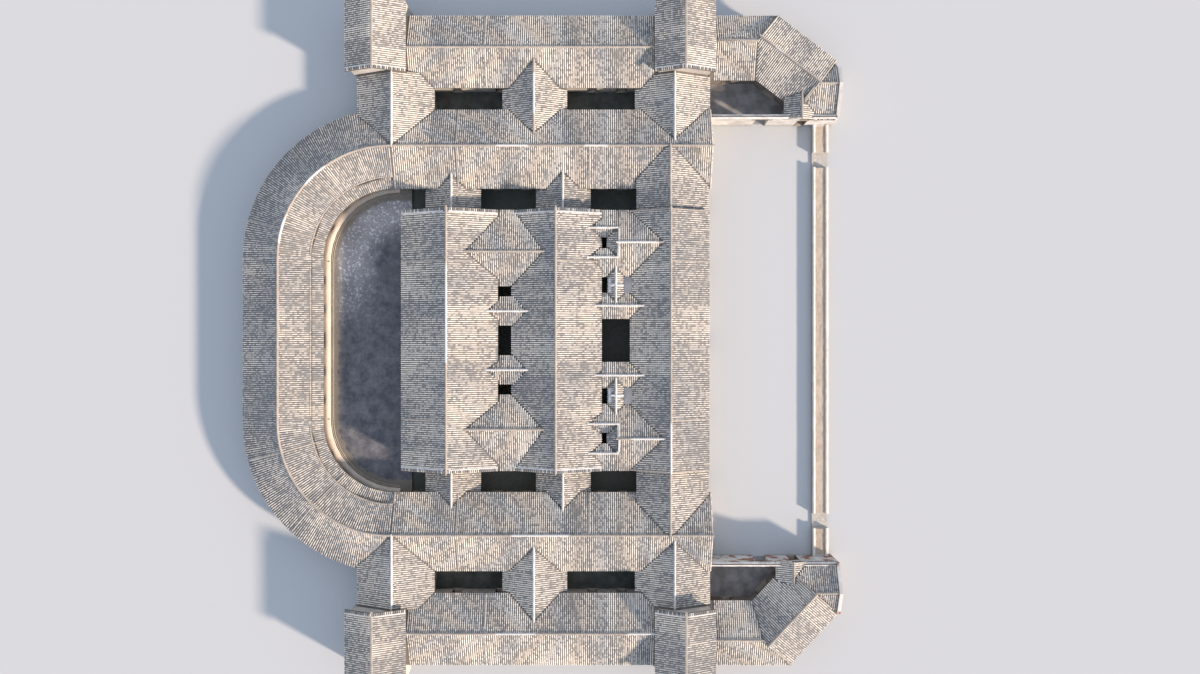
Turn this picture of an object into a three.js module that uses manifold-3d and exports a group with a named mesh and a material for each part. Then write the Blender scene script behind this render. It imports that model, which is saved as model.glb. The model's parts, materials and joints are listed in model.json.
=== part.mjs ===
// A hakka walled house at 1:10: a horseshoe of rooms round a crescent yard, three halls on the axis,
// inner and outer side rows, four corner towers, and two bent gate ranges beside an open forecourt.
// Every size below is a real metre. The meshes are millimetres of the 1:10 model, +Z up, the front at -Y.
import * as THREE from 'three';
import { mergeVertices } from 'three/addons/utils/BufferGeometryUtils.js';
import Module from 'manifold-3d';

const wasm = await Module();
wasm.setup();

// Scale, clearances and the sizes that repeat
const MM_PER_METRE = 100;
const GAP = 0.003;
const HALF_GAP = GAP / 2;
const FLOOR = 0.15;
const WALL = 0.4;
const OVERHANG = 0.5;
const PITCH = 0.43;
const ROOF = 0.22;
const GROUND = -1;
const SKY = 12;
const WALL_LIMIT = 8;
const SIDES = { right: 1, left: -1 };

// The horseshoe: two quarter arcs about these centres with a straight back between them
const RING = {
  centreX: 9.8,
  centreY: 17.75,
  ridgeRadius: 13.3,
  outerEave: 18.3,
  innerEave: 8.55,
  stepRadius: 9.8,
  step: 0.15,
  ridge: 5.6,
  outerWall: 17.55,
  innerWall: 9.55,
  partyWallAngle: 15,
  segments: 64,
};

// Side rows, their ridges running from front to rear
const INNER_ROW = {
  ridgeX: 23.1, innerX: 18.35, outerX: 27.85, frontY: -20.55, ridge: 5.6, partyWallY: 9.95,
};
const OUTER_ROW = { ridgeX: 34.8, innerX: 30.5, outerX: 39.2, ridge: 5.45, partyWallY: 6.6 };

// Roofs with their ridges across the house: eaves to the rear and to the front
const REAR_WING = { ridgeY: 17.55, rearY: 22.15, frontY: 12.85, ridge: 5.6 };
const OUTER_LINK = { ridgeY: 0.75, rearY: 4.65, frontY: -3.15, ridge: 4.9 };
const FRONT_WING = { ridgeY: -16.05, rearY: -11.4, frontY: -20.45, ridge: 5.25 };
const REAR_TOWER = { ridgeY: 19.5, rearY: 23.05, frontY: 15.85, ridge: 7.3 };
const FRONT_TOWER = { ridgeY: -17.2, rearY: -13.65, frontY: -20.85, ridge: 7.3 };
const REAR_HALL = { ridgeY: 10.85, rearY: 16.65, frontY: 5.05, ridge: 6.95, frontEave: 4.86 };
const MIDDLE_HALL = { ridgeY: -1.95, rearY: 3.45, frontY: -7.35, ridge: 6.8, frontEave: 4.86 };
const FRONT_HALL = { ridgeY: -15.5, rearY: -10.75, frontY: -20.25, ridge: 6.5 };
const FRONT_HALL_SIDE = { ...FRONT_HALL, rearY: -11.55, ridge: 5.75 };
const REAR_LINK = { ridgeY: 10.7, rearY: 14.05, frontY: 7.35, ridge: 4.25 };
const MIDDLE_LINK = { ridgeY: -2.7, rearY: 0.6, frontY: -6.0, ridge: 4.4 };
const TOWER_X = [31.8, 41.2];
const TOWER_VERGE = 0.3;
const HALL_HALF_WIDTH = 15.6;

// Roofs over the crossings between the halls, and the skywells they leave open
const REAR_CROSS = { ridgeX: 10.5, innerX: 6.5, outerX: 15.6, ridge: 6.2, outerEave: 4.6 };
const FRONT_CROSS = { ridgeX: 11.6, innerX: 7.6, outerX: 15.6, ridge: 6.15, rearY: -9.25 };
const REAR_PASSAGE = { ridgeX: 3.5, innerX: 1.8, outerX: 5.2, ridge: 5.3 };
const FRONT_PASSAGE = { ridgeX: 4.15, innerX: 2.6, outerX: 5.7, ridge: 5.1 };
const SKYWELL_BRIDGE = { ridgeY: -9.05, rearY: -8.05, frontY: -10.1, ridge: 4.9 };
const LIGHT_WELL_ROOFS = [
  { ridgeX: 9.9, innerX: 7.6, outerX: 10.97, ridge: 5.42 },
  { ridgeX: 13.4, innerX: 12.3, outerX: 15.6, ridge: 5.37 },
];
const LIGHT_WELL_REAR_Y = -5.0;
const LIGHT_WELL_LEAN_TO = { depth: 1.28, top: 5.4 };

// Gate ranges: a straight row, a slightly higher gatehouse that slants off it, and an end at the pond
// with a small wing
const GATE_RIDGE = 5.1;
const GATEHOUSE_RIDGE = 5.4;
const GATEHOUSE_INNER_EAVE = 3.33;
const GABLE_DEPTH = 0.5;
const LAP = 0.02;
const GATE_WALL_TOP = 3.7;
const CROSSING_WALL_TOP = 4.5;
const GATE_ROW = { ridgeX: 35.7, innerX: 31.5, outerX: 39.2 };
const GATEHOUSES = {
  right: { start: [36.16, -26.22], end: [30.67, -33.38], innerSpan: 3.8, outerSpan: 3.85, wingY: -31.4 },
  left: { start: [-36.3, -27.14], end: [-30.14, -32.88], innerSpan: 4.4, outerSpan: 4.1, wingY: -30.4 },
};
const POND_END = { innerX: 26.7, outerX: 33.4, faceY: -36.05, ridge: 5.0, parapet: 0.3 };
const POND_END_WING = { halfSpan: 2.0, ridge: 4.35 };
const INNER_CORNER_X = 29.2;
const FORECOURT_WALL = { x: 27.0, height: 3.7, gateFromY: -25.85, gateToY: -27.85 };
const POND_WALL = {
  rearY: -33.55, frontY: -35.45, thickness: 0.25, height: 0.8, gap: [21.5, 23.3], threshold: 0.2,
};
const CRESCENT_YARD = { frontY: 16.25, height: 0.45 };

// Doors and windows
const DOOR = { width: 1.2, bottom: 0, top: 2.3 };
const WIDE_DOOR = { width: 2.0, bottom: 0, top: 2.8 };
const HALL_OPENING = { width: 4.6, bottom: 0, top: 3.5 };
const WINDOW = { width: 0.8, bottom: 1.2, top: 2.2 };
const HIGH_WINDOW = { width: 0.5, bottom: 2.0, top: 2.7 };
const TOWER_WINDOW = { width: 0.6, bottom: 4.0, top: 4.8 };

// Turns a closed three.js geometry into a solid that can be joined and cut
function toSolid(geometry) {
  geometry.deleteAttribute('normal');
  geometry.deleteAttribute('uv');
  const merged = mergeVertices(geometry);
  return new wasm.Manifold(new wasm.Mesh({
    numProp: 3,
    vertProperties: new Float32Array(merged.attributes.position.array),
    triVerts: new Uint32Array(merged.index.array),
  }));
}

const join = (solids) => solids.reduce((all, solid) => all.add(solid));
const cut = (solid, cutters) => cutters.reduce((left, cutter) => left.subtract(cutter), solid);

function box([x0, x1], [y0, y1], [z0, z1]) {
  const geometry = new THREE.BoxGeometry(Math.abs(x1 - x0), Math.abs(y1 - y0), Math.abs(z1 - z0));
  geometry.translate((x0 + x1) / 2, (y0 + y1) / 2, (z0 + z1) / 2);
  return toSolid(geometry);
}

// Sweeps a section of [left of the way, height] points along a level line from one plan point to another
function prism(section, from, to) {
  const start = new THREE.Vector3(...from, 0);
  const along = new THREE.Vector3(...to, 0).sub(start);
  const shape = new THREE.Shape(section.map(([across, z]) => new THREE.Vector2(across, z)));
  const geometry = new THREE.ExtrudeGeometry(shape, { depth: along.length(), bevelEnabled: false });
  along.normalize();
  const up = new THREE.Vector3(0, 0, 1);
  const left = new THREE.Vector3().crossVectors(up, along);
  geometry.applyMatrix4(new THREE.Matrix4().makeBasis(left, up, along).setPosition(start));
  return toSolid(geometry);
}

// Turns a section of [distance from the centre, height] points round the centre of one horseshoe arc
function arc(section, side) {
  const outline = section.map(([radius, z]) => new THREE.Vector2(radius, z));
  if (THREE.ShapeUtils.isClockWise(outline)) outline.reverse();
  const geometry = new THREE.LatheGeometry([...outline, outline[0]], RING.segments);
  geometry.rotateX(Math.PI / 2);
  geometry.translate(side * RING.centreX, RING.centreY, 0);
  const reach = RING.centreX + RING.outerEave + 1;
  const quarter = box(
    [side * (RING.centreX + HALF_GAP), side * reach],
    [RING.centreY + HALF_GAP, RING.centreY + reach],
    [GROUND, SKY],
  );
  return toSolid(geometry).intersect(quarter);
}

const rectangle = (across0, across1, z0, z1) => [[across0, z0], [across1, z0], [across1, z1], [across0, z1]];
const lowered = (line, drop) => line.map(([across, z]) => [across, z - drop]);

// Adds a short level stretch past each end of a roof line, so that a wall beside the eave clears it
function widened(line) {
  const [first, last] = [line[0], line.at(-1)];
  const wayOut = Math.sign(last[0] - first[0]) * HALF_GAP;
  return [[first[0] - wayOut, first[1]], ...line, [last[0] + wayOut, last[1]]];
}

// The three sections that a roof's top line gives: its shell, all that lies under its top,
// and all above its underside
function roofSections(line, thickness = ROOF) {
  const first = line[0][0];
  const last = line.at(-1)[0];
  const wayOut = Math.sign(last - first) * HALF_GAP;
  return {
    shell: [...line, ...lowered(line, thickness).reverse()],
    under: [...line, [last, GROUND], [first, GROUND]],
    over: [...widened(lowered(line, thickness + GAP)), [last + wayOut, SKY], [first - wayOut, SKY]],
  };
}

// A roof swept by the given function, then cut by whatever it runs into
function roof(
  line, sweep, cutters = [], overCutters = cutters, overLine = line, overSweep = sweep, thickness = ROOF,
) {
  return {
    shell: cut(sweep(roofSections(line, thickness).shell), cutters),
    under: sweep(roofSections(lowered(line, -GAP)).under),
    over: cut(overSweep(roofSections(overLine, thickness).over), overCutters),
  };
}

// A roof swept straight from one plan point to another; its clearance for walls runs a little past both ends
function straightRoof(line, from, to, cutters, overCutters, thickness) {
  const length = Math.hypot(to[0] - from[0], to[1] - from[1]);
  const past = from.map((value, axis) => (to[axis] - value) / length * HALF_GAP);
  const sweep = (section) => prism(section, from, to);
  const overSweep = (section) => prism(
    section, [from[0] - past[0], from[1] - past[1]], [to[0] + past[0], to[1] + past[1]],
  );
  return roof(line, sweep, cutters, overCutters, line, overSweep, thickness);
}

// A gable roof between two plan points, its eaves at the given distances to the right and left of the way
function gableRoof(from, to, spans, ridge, cutters, eaves, overCutters) {
  const [right, left] = spans;
  const [rightZ, leftZ] = eaves ?? spans.map((span) => ridge - span * PITCH);
  return straightRoof([[-right, rightZ], [0, ridge], [left, leftZ]], from, to, cutters, overCutters);
}

// A roof whose ridge runs across the house from one x to another
function acrossRoof(form, x0, x1, cutters) {
  const [from, to] = [Math.min(x0, x1), Math.max(x0, x1)];
  const spans = [form.ridgeY - form.frontY, form.rearY - form.ridgeY];
  const eaves = [form.frontEave ?? form.ridge - spans[0] * PITCH, form.ridge - spans[1] * PITCH];
  return gableRoof([from, form.ridgeY], [to, form.ridgeY], spans, form.ridge, cutters, eaves);
}

// A roof whose ridge runs from front to rear on one side of the house
function alongRoof(form, side, frontY, rearY, cutters, overCutters) {
  const inner = form.ridgeX - form.innerX;
  const outer = form.outerX - form.ridgeX;
  const innerZ = form.ridge - inner * PITCH;
  const outerZ = form.outerEave ?? form.ridge - outer * PITCH;
  const spans = side > 0 ? [outer, inner] : [inner, outer];
  const eaves = side > 0 ? [outerZ, innerZ] : [innerZ, outerZ];
  const x = side * form.ridgeX;
  return gableRoof([x, frontY], [x, rearY], spans, form.ridge, cutters, eaves, overCutters);
}

// Everything beyond a plan point in one direction, by a given distance, for the mitres where a range bends
function beyond(point, direction, distance = 0) {
  const reach = 30;
  const length = Math.hypot(...direction);
  const onward = (way) => point.map((value, axis) => value + direction[axis] / length * way);
  return prism(rectangle(-reach, reach, GROUND, SKY), onward(distance), onward(reach));
}

// Walls: straight ones on a centre line, a closed rectangle of them, and curved ones round a horseshoe arc
function straightWall(from, to, top = WALL_LIMIT, bottom = FLOOR + GAP, thickness = WALL) {
  return prism(rectangle(-thickness / 2, thickness / 2, bottom, top), from, to);
}

function wallRectangle([x0, x1], [y0, y1], bottom = FLOOR + GAP) {
  const outside = box([x0, x1], [y0, y1], [bottom, WALL_LIMIT]);
  return outside.subtract(box([x0 + WALL, x1 - WALL], [y0 + WALL, y1 - WALL], [GROUND, SKY]));
}

const curvedWall = (inner, outer, side) => arc(rectangle(inner, outer, FLOOR + GAP, WALL_LIMIT), side);

// A doorway or window cut through a wall at a plan point, facing one way; a doorway goes down past the foot
function hole(form, [x, y], [dx, dy]) {
  const reach = 1.2;
  const half = form.width / 2;
  const bottom = form.bottom > 0 ? form.bottom + FLOOR : GROUND;
  const section = rectangle(-half, half, bottom, form.top + FLOOR);
  return prism(section, [x - dx * reach, y - dy * reach], [x + dx * reach, y + dy * reach]);
}

const holesFacingY = (form, y, xs) => xs.map((x) => hole(form, [x, y], [0, 1]));
const holesFacingX = (form, x, ys) => ys.map((y) => hole(form, [x, y], [1, 0]));

// Places at an even pitch between two values, half a pitch in from each
function evenly(from, to, count) {
  return Array.from({ length: count }, (_, index) => from + (to - from) * (index + 0.5) / count);
}

// Roofs that nothing cuts: the horseshoe, the rows, the towers and the three halls
const roofs = {};
const ringStepZ = RING.ridge - (RING.ridgeRadius - RING.stepRadius) * PITCH;
const ringLine = [
  [RING.outerEave, RING.ridge - (RING.outerEave - RING.ridgeRadius) * PITCH],
  [RING.ridgeRadius, RING.ridge],
  [RING.stepRadius, ringStepZ],
  [RING.stepRadius, ringStepZ - RING.step],
  [RING.innerEave, ringStepZ - RING.step - (RING.stepRadius - RING.innerEave) * PITCH],
];
const ringOverLine = ringLine.map(([radius, z]) => [radius === RING.stepRadius ? radius + GAP : radius, z]);
const ringRoof = (sweep) => roof(ringLine, sweep, [], [], ringOverLine);
const ringBackFrom = [-RING.centreX + HALF_GAP, RING.centreY];
const ringBackTo = [RING.centreX - HALF_GAP, RING.centreY];
roofs.horseshoe_back_roof = ringRoof((section) => prism(section, ringBackFrom, ringBackTo));

const towerWalls = {
  x: [TOWER_X[0] + TOWER_VERGE, TOWER_X[1] - TOWER_VERGE],
  rear: [REAR_TOWER.frontY + OVERHANG, REAR_TOWER.rearY - OVERHANG],
  front: [FRONT_TOWER.frontY + OVERHANG, FRONT_TOWER.rearY - OVERHANG],
};
for (const [sideName, side] of Object.entries(SIDES)) {
  roofs[`horseshoe_${sideName}_roof`] = ringRoof((section) => arc(section, side));
  roofs[`inner_row_${sideName}_roof`] = alongRoof(INNER_ROW, side, INNER_ROW.frontY, RING.centreY - HALF_GAP);
  roofs[`outer_row_${sideName}_roof`] = alongRoof(
    OUTER_ROW, side, towerWalls.front[1] + GAP, towerWalls.rear[0] - GAP,
  );
  roofs[`rear_tower_${sideName}_roof`] = acrossRoof(REAR_TOWER, side * TOWER_X[0], side * TOWER_X[1]);
  roofs[`front_tower_${sideName}_roof`] = acrossRoof(FRONT_TOWER, side * TOWER_X[0], side * TOWER_X[1]);
}
roofs.rear_hall_roof = acrossRoof(REAR_HALL, -HALL_HALF_WIDTH, HALL_HALF_WIDTH);
roofs.middle_hall_roof = acrossRoof(MIDDLE_HALL, -HALL_HALF_WIDTH, HALL_HALF_WIDTH);
roofs.front_hall_roof = acrossRoof(FRONT_HALL, -HALL_HALF_WIDTH, HALL_HALF_WIDTH);

// Roofs that run into those, on both sides
const hallWallX = HALL_HALF_WIDTH - OVERHANG;
const towerWallX = towerWalls.x[0];
for (const [sideName, side] of Object.entries(SIDES)) {
  const ring = roofs[`horseshoe_${sideName}_roof`].under;
  const innerRow = roofs[`inner_row_${sideName}_roof`].under;
  const outerRow = roofs[`outer_row_${sideName}_roof`].under;
  const halls = [roofs.rear_hall_roof.under, roofs.middle_hall_roof.under];
  const innerRidge = side * INNER_ROW.ridgeX;
  const outerRidge = side * OUTER_ROW.ridgeX;
  const towerFace = side * (towerWallX - GAP);
  const hallFace = side * (hallWallX + GAP);

  roofs[`rear_wing_${sideName}_roof`] = acrossRoof(
    REAR_WING, innerRidge, towerFace, [ring, innerRow, outerRow],
  );
  roofs[`front_wing_${sideName}_roof`] = acrossRoof(FRONT_WING, innerRidge, towerFace, [innerRow, outerRow]);
  roofs[`outer_link_${sideName}_roof`] = acrossRoof(OUTER_LINK, innerRidge, outerRidge, [innerRow, outerRow]);
  roofs[`rear_link_${sideName}_roof`] = acrossRoof(REAR_LINK, hallFace, innerRidge, [innerRow]);
  roofs[`middle_link_${sideName}_roof`] = acrossRoof(MIDDLE_LINK, hallFace, innerRidge, [innerRow]);
  roofs[`front_hall_${sideName}_roof`] = acrossRoof(FRONT_HALL_SIDE, hallFace, innerRidge, [innerRow]);
  roofs[`rear_cross_${sideName}_roof`] = alongRoof(
    REAR_CROSS, side, MIDDLE_HALL.ridgeY, REAR_HALL.ridgeY, halls,
  );
  roofs[`front_cross_${sideName}_roof`] = alongRoof(
    FRONT_CROSS, side, FRONT_HALL.ridgeY, FRONT_CROSS.rearY, [roofs.front_hall_roof.under],
  );
}

// Small roofs round the skywells, joined to the roof of the hall that carries them
function joinRoofs(name, parts) {
  roofs[name].shell = join([roofs[name].shell, ...parts.map((part) => part.shell)]);
  roofs[name].over = join([roofs[name].over, ...parts.map((part) => part.over)]);
}

const middleHallParts = [];
for (const [sideName, side] of Object.entries(SIDES)) {
  const rearHall = roofs.rear_hall_roof.under;
  const frontHall = roofs.front_hall_roof.under;
  const frontCross = roofs[`front_cross_${sideName}_roof`].under;
  middleHallParts.push(alongRoof(REAR_PASSAGE, side, MIDDLE_HALL.ridgeY, REAR_HALL.ridgeY, [rearHall]));
  middleHallParts.push(alongRoof(FRONT_PASSAGE, side, FRONT_HALL.ridgeY, MIDDLE_HALL.ridgeY, [frontHall]));
  middleHallParts.push(acrossRoof(
    SKYWELL_BRIDGE, side * FRONT_PASSAGE.ridgeX, side * FRONT_CROSS.ridgeX, [frontCross],
  ));
  for (const form of LIGHT_WELL_ROOFS) {
    middleHallParts.push(alongRoof(form, side, FRONT_CROSS.rearY + GAP, LIGHT_WELL_REAR_Y, []));
  }
  const { depth, top } = LIGHT_WELL_LEAN_TO;
  const leanToX = LIGHT_WELL_ROOFS.map((form) => side * form.ridgeX).sort((a, b) => a - b);
  middleHallParts.push(straightRoof(
    [[GAP, top], [depth, top - depth * PITCH]], ...leanToX.map((x) => [x, FRONT_CROSS.rearY]), [], [],
  ));
}
joinRoofs('middle_hall_roof', middleHallParts);

// Gate ranges: the gatehouse's outer slope ends in a verge over the row, and its inner slope meets the row
// in a valley
const gates = {};
for (const [sideName, side] of Object.entries(SIDES)) {
  const { start, end, innerSpan, outerSpan, wingY } = GATEHOUSES[sideName];
  const slant = new THREE.Vector2(end[0] - start[0], end[1] - start[1]).normalize();
  const outwards = new THREE.Vector2(-slant.y, slant.x).multiplyScalar(side);
  const [forward, back] = [[slant.x, slant.y], [-slant.x, -slant.y]];
  const onLine = (offset, x) => {
    const [fromX, fromY] = [start[0] + outwards.x * offset, start[1] + outwards.y * offset];
    return [x, fromY + (x - fromX) * slant.y / slant.x];
  };
  const ridgeX = side * GATE_ROW.ridgeX;
  const valleyTop = [ridgeX, start[1] - (ridgeX - start[0]) * slant.x / slant.y];
  const valleyFoot = onLine(-innerSpan, side * GATE_ROW.innerX);
  const pondward = [side * (valleyTop[1] - valleyFoot[1]), side * (valleyFoot[0] - valleyTop[0])];
  const landward = pondward.map((value) => -value);
  const outerHalf = box([ridgeX, side * 60], [-60, 60], [GROUND - 1, SKY + 1]);
  const innerHalf = box([0, ridgeX], [-60, 60], [GROUND - 1, SKY + 1]);
  const rowCutters = (distance) => [
    beyond(start, forward, distance).intersect(outerHalf),
    beyond(valleyTop, pondward, distance).intersect(innerHalf),
  ];
  const frontWing = roofs[`front_wing_${sideName}_roof`].under;
  const row = alongRoof(
    { ...GATE_ROW, ridge: GATE_RIDGE }, side, end[1], towerWalls.front[0] - GAP,
    [...rowCutters(LAP), frontWing], [...rowCutters(LAP + GAP), frontWing],
  );

  const inOrder = (inner, outer) => (side > 0 ? [inner, outer] : [outer, inner]);
  const eaves = inOrder(GATEHOUSE_INNER_EAVE, GATEHOUSE_RIDGE - outerSpan * PITCH);
  const spans = inOrder(innerSpan, outerSpan);
  const slanting = gableRoof(
    start, end, spans, GATEHOUSE_RIDGE, [beyond(valleyTop, landward, LAP)], eaves,
    [beyond(valleyTop, landward, LAP + GAP)],
  );
  const crest = [0, GATEHOUSE_RIDGE];
  const outerSlope = side > 0 ? [crest, [spans[1], eaves[1]]] : [[-spans[0], eaves[0]], crest];
  const gable = (from, way) => straightRoof(
    outerSlope, from, [from[0] + slant.x * way, from[1] + slant.y * way], [], [], ROOF + GABLE_DEPTH,
  );
  const pondEnd = alongRoof(
    { ...POND_END, ridgeX: Math.abs(end[0]) }, side, POND_END.faceY + WALL + GAP, wingY,
    [beyond(end, back, LAP)], [beyond(end, back, LAP + GAP)],
  );
  const { halfSpan, ridge } = POND_END_WING;
  const wing = acrossRoof(
    { ridgeY: wingY, rearY: wingY + halfSpan, frontY: wingY - halfSpan, ridge },
    side * POND_END.innerX, side * (Math.abs(end[0]) - WALL * 2), [],
  );
  gates[sideName] = { end, outwards, onLine, innerSpan, outerSpan, wingY };
  roofs[`gate_range_${sideName}_roof`] = row;
  joinRoofs(`gate_range_${sideName}_roof`, [slanting, gable(start, WALL), gable(end, -WALL), pondEnd, wing]);
}

// Walls stop a gap below the lowest roof over them
const overRoofs = join(Object.values(roofs).map((part) => part.over));
const pieces = {};
const standUnderRoofs = (solid, holes) => cut(solid.subtract(overRoofs), holes);

// Horseshoe walls, joined by the party walls that show as ribs on the roof
const ringOuterY = RING.centreY + RING.outerWall;
const ringInnerY = RING.centreY + RING.innerWall;
const ringBackX = RING.centreX - HALF_GAP;
pieces.horseshoe_back_walls = standUnderRoofs(
  wallRectangle([-ringBackX, ringBackX], [ringInnerY, ringOuterY]),
  [
    ...holesFacingY(DOOR, ringInnerY, [-7.4, -3.9, 3.9, 7.4]),
    ...holesFacingY(WIDE_DOOR, ringInnerY, [0]),
    ...holesFacingY(HIGH_WINDOW, ringOuterY, [-7.4, -2.5, 2.5, 7.4]),
  ],
);
for (const [sideName, side] of Object.entries(SIDES)) {
  const radial = (angle) => {
    const radians = THREE.MathUtils.degToRad(angle);
    return [side * Math.sin(radians), Math.cos(radians)];
  };
  const onArc = (radius, angle) => {
    const [dx, dy] = radial(angle);
    return [side * RING.centreX + dx * radius, RING.centreY + dy * radius];
  };
  const partyWall = straightWall(
    onArc(RING.innerWall + WALL / 2, RING.partyWallAngle),
    onArc(RING.outerWall - WALL / 2, RING.partyWallAngle),
  );
  pieces[`horseshoe_${sideName}_walls`] = standUnderRoofs(
    join([
      curvedWall(RING.innerWall, RING.innerWall + WALL, side),
      curvedWall(RING.outerWall - WALL, RING.outerWall, side),
      partyWall,
    ]),
    [
      ...[26, 44, 62, 80].map((angle) => hole(DOOR, onArc(RING.innerWall, angle), radial(angle))),
      ...[22, 40, 58].map((angle) => hole(HIGH_WINDOW, onArc(RING.outerWall, angle), radial(angle))),
    ],
  );
}

// Inner rows with the walls of the links across the inner courts
for (const [sideName, side] of Object.entries(SIDES)) {
  const courtFace = INNER_ROW.innerX + OVERHANG;
  const outerFace = INNER_ROW.outerX - OVERHANG;
  const frontFace = INNER_ROW.frontY + TOWER_VERGE;
  const rearFace = RING.centreY - HALF_GAP;
  const courtX = side * (courtFace + WALL / 2);
  const outerX = side * (outerFace - WALL / 2);
  const crossWall = (y, x0, x1) => straightWall([side * x0, y], [side * x1, y]);
  const linkFaces = [REAR_LINK, MIDDLE_LINK].flatMap((link) => [
    link.rearY - OVERHANG - WALL / 2, link.frontY + OVERHANG + WALL / 2,
  ]);
  pieces[`inner_row_${sideName}_walls`] = standUnderRoofs(
    join([
      straightWall([courtX, frontFace], [courtX, rearFace]),
      straightWall([outerX, frontFace], [outerX, rearFace]),
      crossWall(frontFace + WALL / 2, courtFace, outerFace),
      crossWall(INNER_ROW.partyWallY, courtFace, outerFace),
      crossWall(rearFace - WALL / 2, courtFace, RING.centreX + RING.innerWall + WALL),
      ...linkFaces.map((y) => crossWall(y, hallWallX + GAP, courtFace + WALL)),
    ]),
    [
      ...holesFacingX(DOOR, courtX, [16.0, 11.0, 5.6, 2.0, -3.0, -7.4, -10.0, -15.6]),
      ...holesFacingX(WINDOW, courtX, [4.0, -8.7]),
      ...holesFacingX(DOOR, outerX, [8.0, 0.75, -8.0, -16.05]),
      ...holesFacingX(HIGH_WINDOW, outerX, [10.8, 6.3, -5.2, -10.2]),
      ...holesFacingY(WINDOW, frontFace, [side * 21.3, side * 24.9]),
      ...linkFaces.flatMap((y) => holesFacingY(DOOR, y, [side * 17.0])),
    ],
  );
}

// Outer rows, with the wings and links beside them and the floor of the outer courts
for (const [sideName, side] of Object.entries(SIDES)) {
  const innerX = side * (INNER_ROW.outerX - OVERHANG + GAP);
  const courtX = side * (OUTER_ROW.innerX + OVERHANG + WALL / 2);
  const outerFace = OUTER_ROW.outerX - OVERHANG;
  const outerX = side * (outerFace - WALL / 2);
  const towerX = side * (towerWallX - GAP);
  const rowFront = towerWalls.front[1] + GAP;
  const rowRear = towerWalls.rear[0] - GAP;
  const wingRear = REAR_WING.rearY - OVERHANG;
  const wingFront = FRONT_WING.frontY + OVERHANG;
  const wall = (from, to) => straightWall(from, to, WALL_LIMIT, 0);
  const crossWall = (y, x0, x1) => wall([x0, y], [x1, y]);
  const shelter = (form) => [form.rearY - OVERHANG - WALL / 2, form.frontY + OVERHANG + WALL / 2];
  const ringWall = arc(rectangle(1, RING.outerWall + GAP, GROUND, SKY), side);
  const floor = join([
    box([innerX, side * outerFace], [rowFront, rowRear], [0, FLOOR]),
    box([innerX, towerX], [rowRear - 1, wingRear], [0, FLOOR]),
    box([innerX, towerX], [wingFront, rowFront + 1], [0, FLOOR]),
  ]);
  const masonry = join([
    wall([courtX, FRONT_WING.rearY - OVERHANG - WALL], [courtX, REAR_WING.frontY + OVERHANG + WALL]),
    wall([outerX, rowFront], [outerX, rowRear]),
    crossWall(OUTER_ROW.partyWallY, courtX, outerX),
    ...shelter(REAR_WING).map((y) => crossWall(y, innerX - side * (y > RING.centreY ? 1 : 0), towerX)),
    ...shelter(OUTER_LINK).map((y) => crossWall(y, innerX, courtX)),
    ...shelter(FRONT_WING).map((y) => crossWall(y, innerX, towerX)),
  ]);
  const walls = standUnderRoofs(
    masonry,
    [
      ringWall,
      ...holesFacingX(DOOR, courtX, [10.5, 5.2, -6.2, -9.8]),
      ...holesFacingX(WINDOW, courtX, [8.4, -8.0]),
      ...holesFacingX(HIGH_WINDOW, outerX, evenly(rowFront, rowRear, 8)),
      ...shelter(OUTER_LINK).flatMap((y) => holesFacingY(DOOR, y, [side * 29.2])),
      ...holesFacingY(DOOR, shelter(REAR_WING)[1], [side * 29.2]),
      ...holesFacingY(HIGH_WINDOW, shelter(REAR_WING)[0], [side * 29.6]),
      ...holesFacingY(DOOR, shelter(FRONT_WING)[0], [side * 29.2]),
      ...holesFacingY(DOOR, shelter(FRONT_WING)[1], [side * 29.2]),
    ],
  );
  pieces[`outer_row_${sideName}_walls`] = walls.add(floor.subtract(ringWall));
}

// Corner towers, each a box of walls with its floor
for (const [sideName, side] of Object.entries(SIDES)) {
  const [innerFace, outerFace] = towerWalls.x;
  const xs = side > 0 ? [innerFace, outerFace] : [-outerFace, -innerFace];
  const middleX = side * (innerFace + outerFace) / 2;
  for (const place of ['rear', 'front']) {
    const ys = towerWalls[place];
    const middleY = (ys[0] + ys[1]) / 2;
    const [courtY, outsideY] = place === 'rear' ? ys : [ys[1], ys[0]];
    const walls = standUnderRoofs(
      wallRectangle(xs, ys, 0),
      [
        ...holesFacingY(DOOR, courtY, [side * 35.5]),
        ...holesFacingY(TOWER_WINDOW, outsideY, [middleX - 2, middleX + 2]),
        ...holesFacingX(TOWER_WINDOW, side * outerFace, [middleY]),
        ...holesFacingX(HIGH_WINDOW, side * outerFace, [middleY - 1.6, middleY + 1.6]),
      ],
    );
    pieces[`${place}_tower_${sideName}_walls`] = walls.add(box(xs, ys, [0, FLOOR]));
  }
}

// The three halls, with the side walls of the crossings between them
const hallX = [-hallWallX, hallWallX];
const hallFaces = (form) => [form.frontY + OVERHANG, form.rearY - OVERHANG];
const crossingWalls = (innerX, y0, y1) => Object.values(SIDES).flatMap((side) => [
  straightWall([side * (hallWallX - WALL / 2), y0], [side * (hallWallX - WALL / 2), y1], CROSSING_WALL_TOP),
  straightWall(
    [side * (innerX + OVERHANG + WALL / 2), y0],
    [side * (innerX + OVERHANG + WALL / 2), y1],
    CROSSING_WALL_TOP,
  ),
]);
const [rearHallFront, rearHallRear] = hallFaces(REAR_HALL);
const [middleHallFront, middleHallRear] = hallFaces(MIDDLE_HALL);
const [frontHallFront, frontHallRear] = hallFaces(FRONT_HALL);
const bothSides = (xs) => xs.flatMap((x) => [x, -x]);

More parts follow.
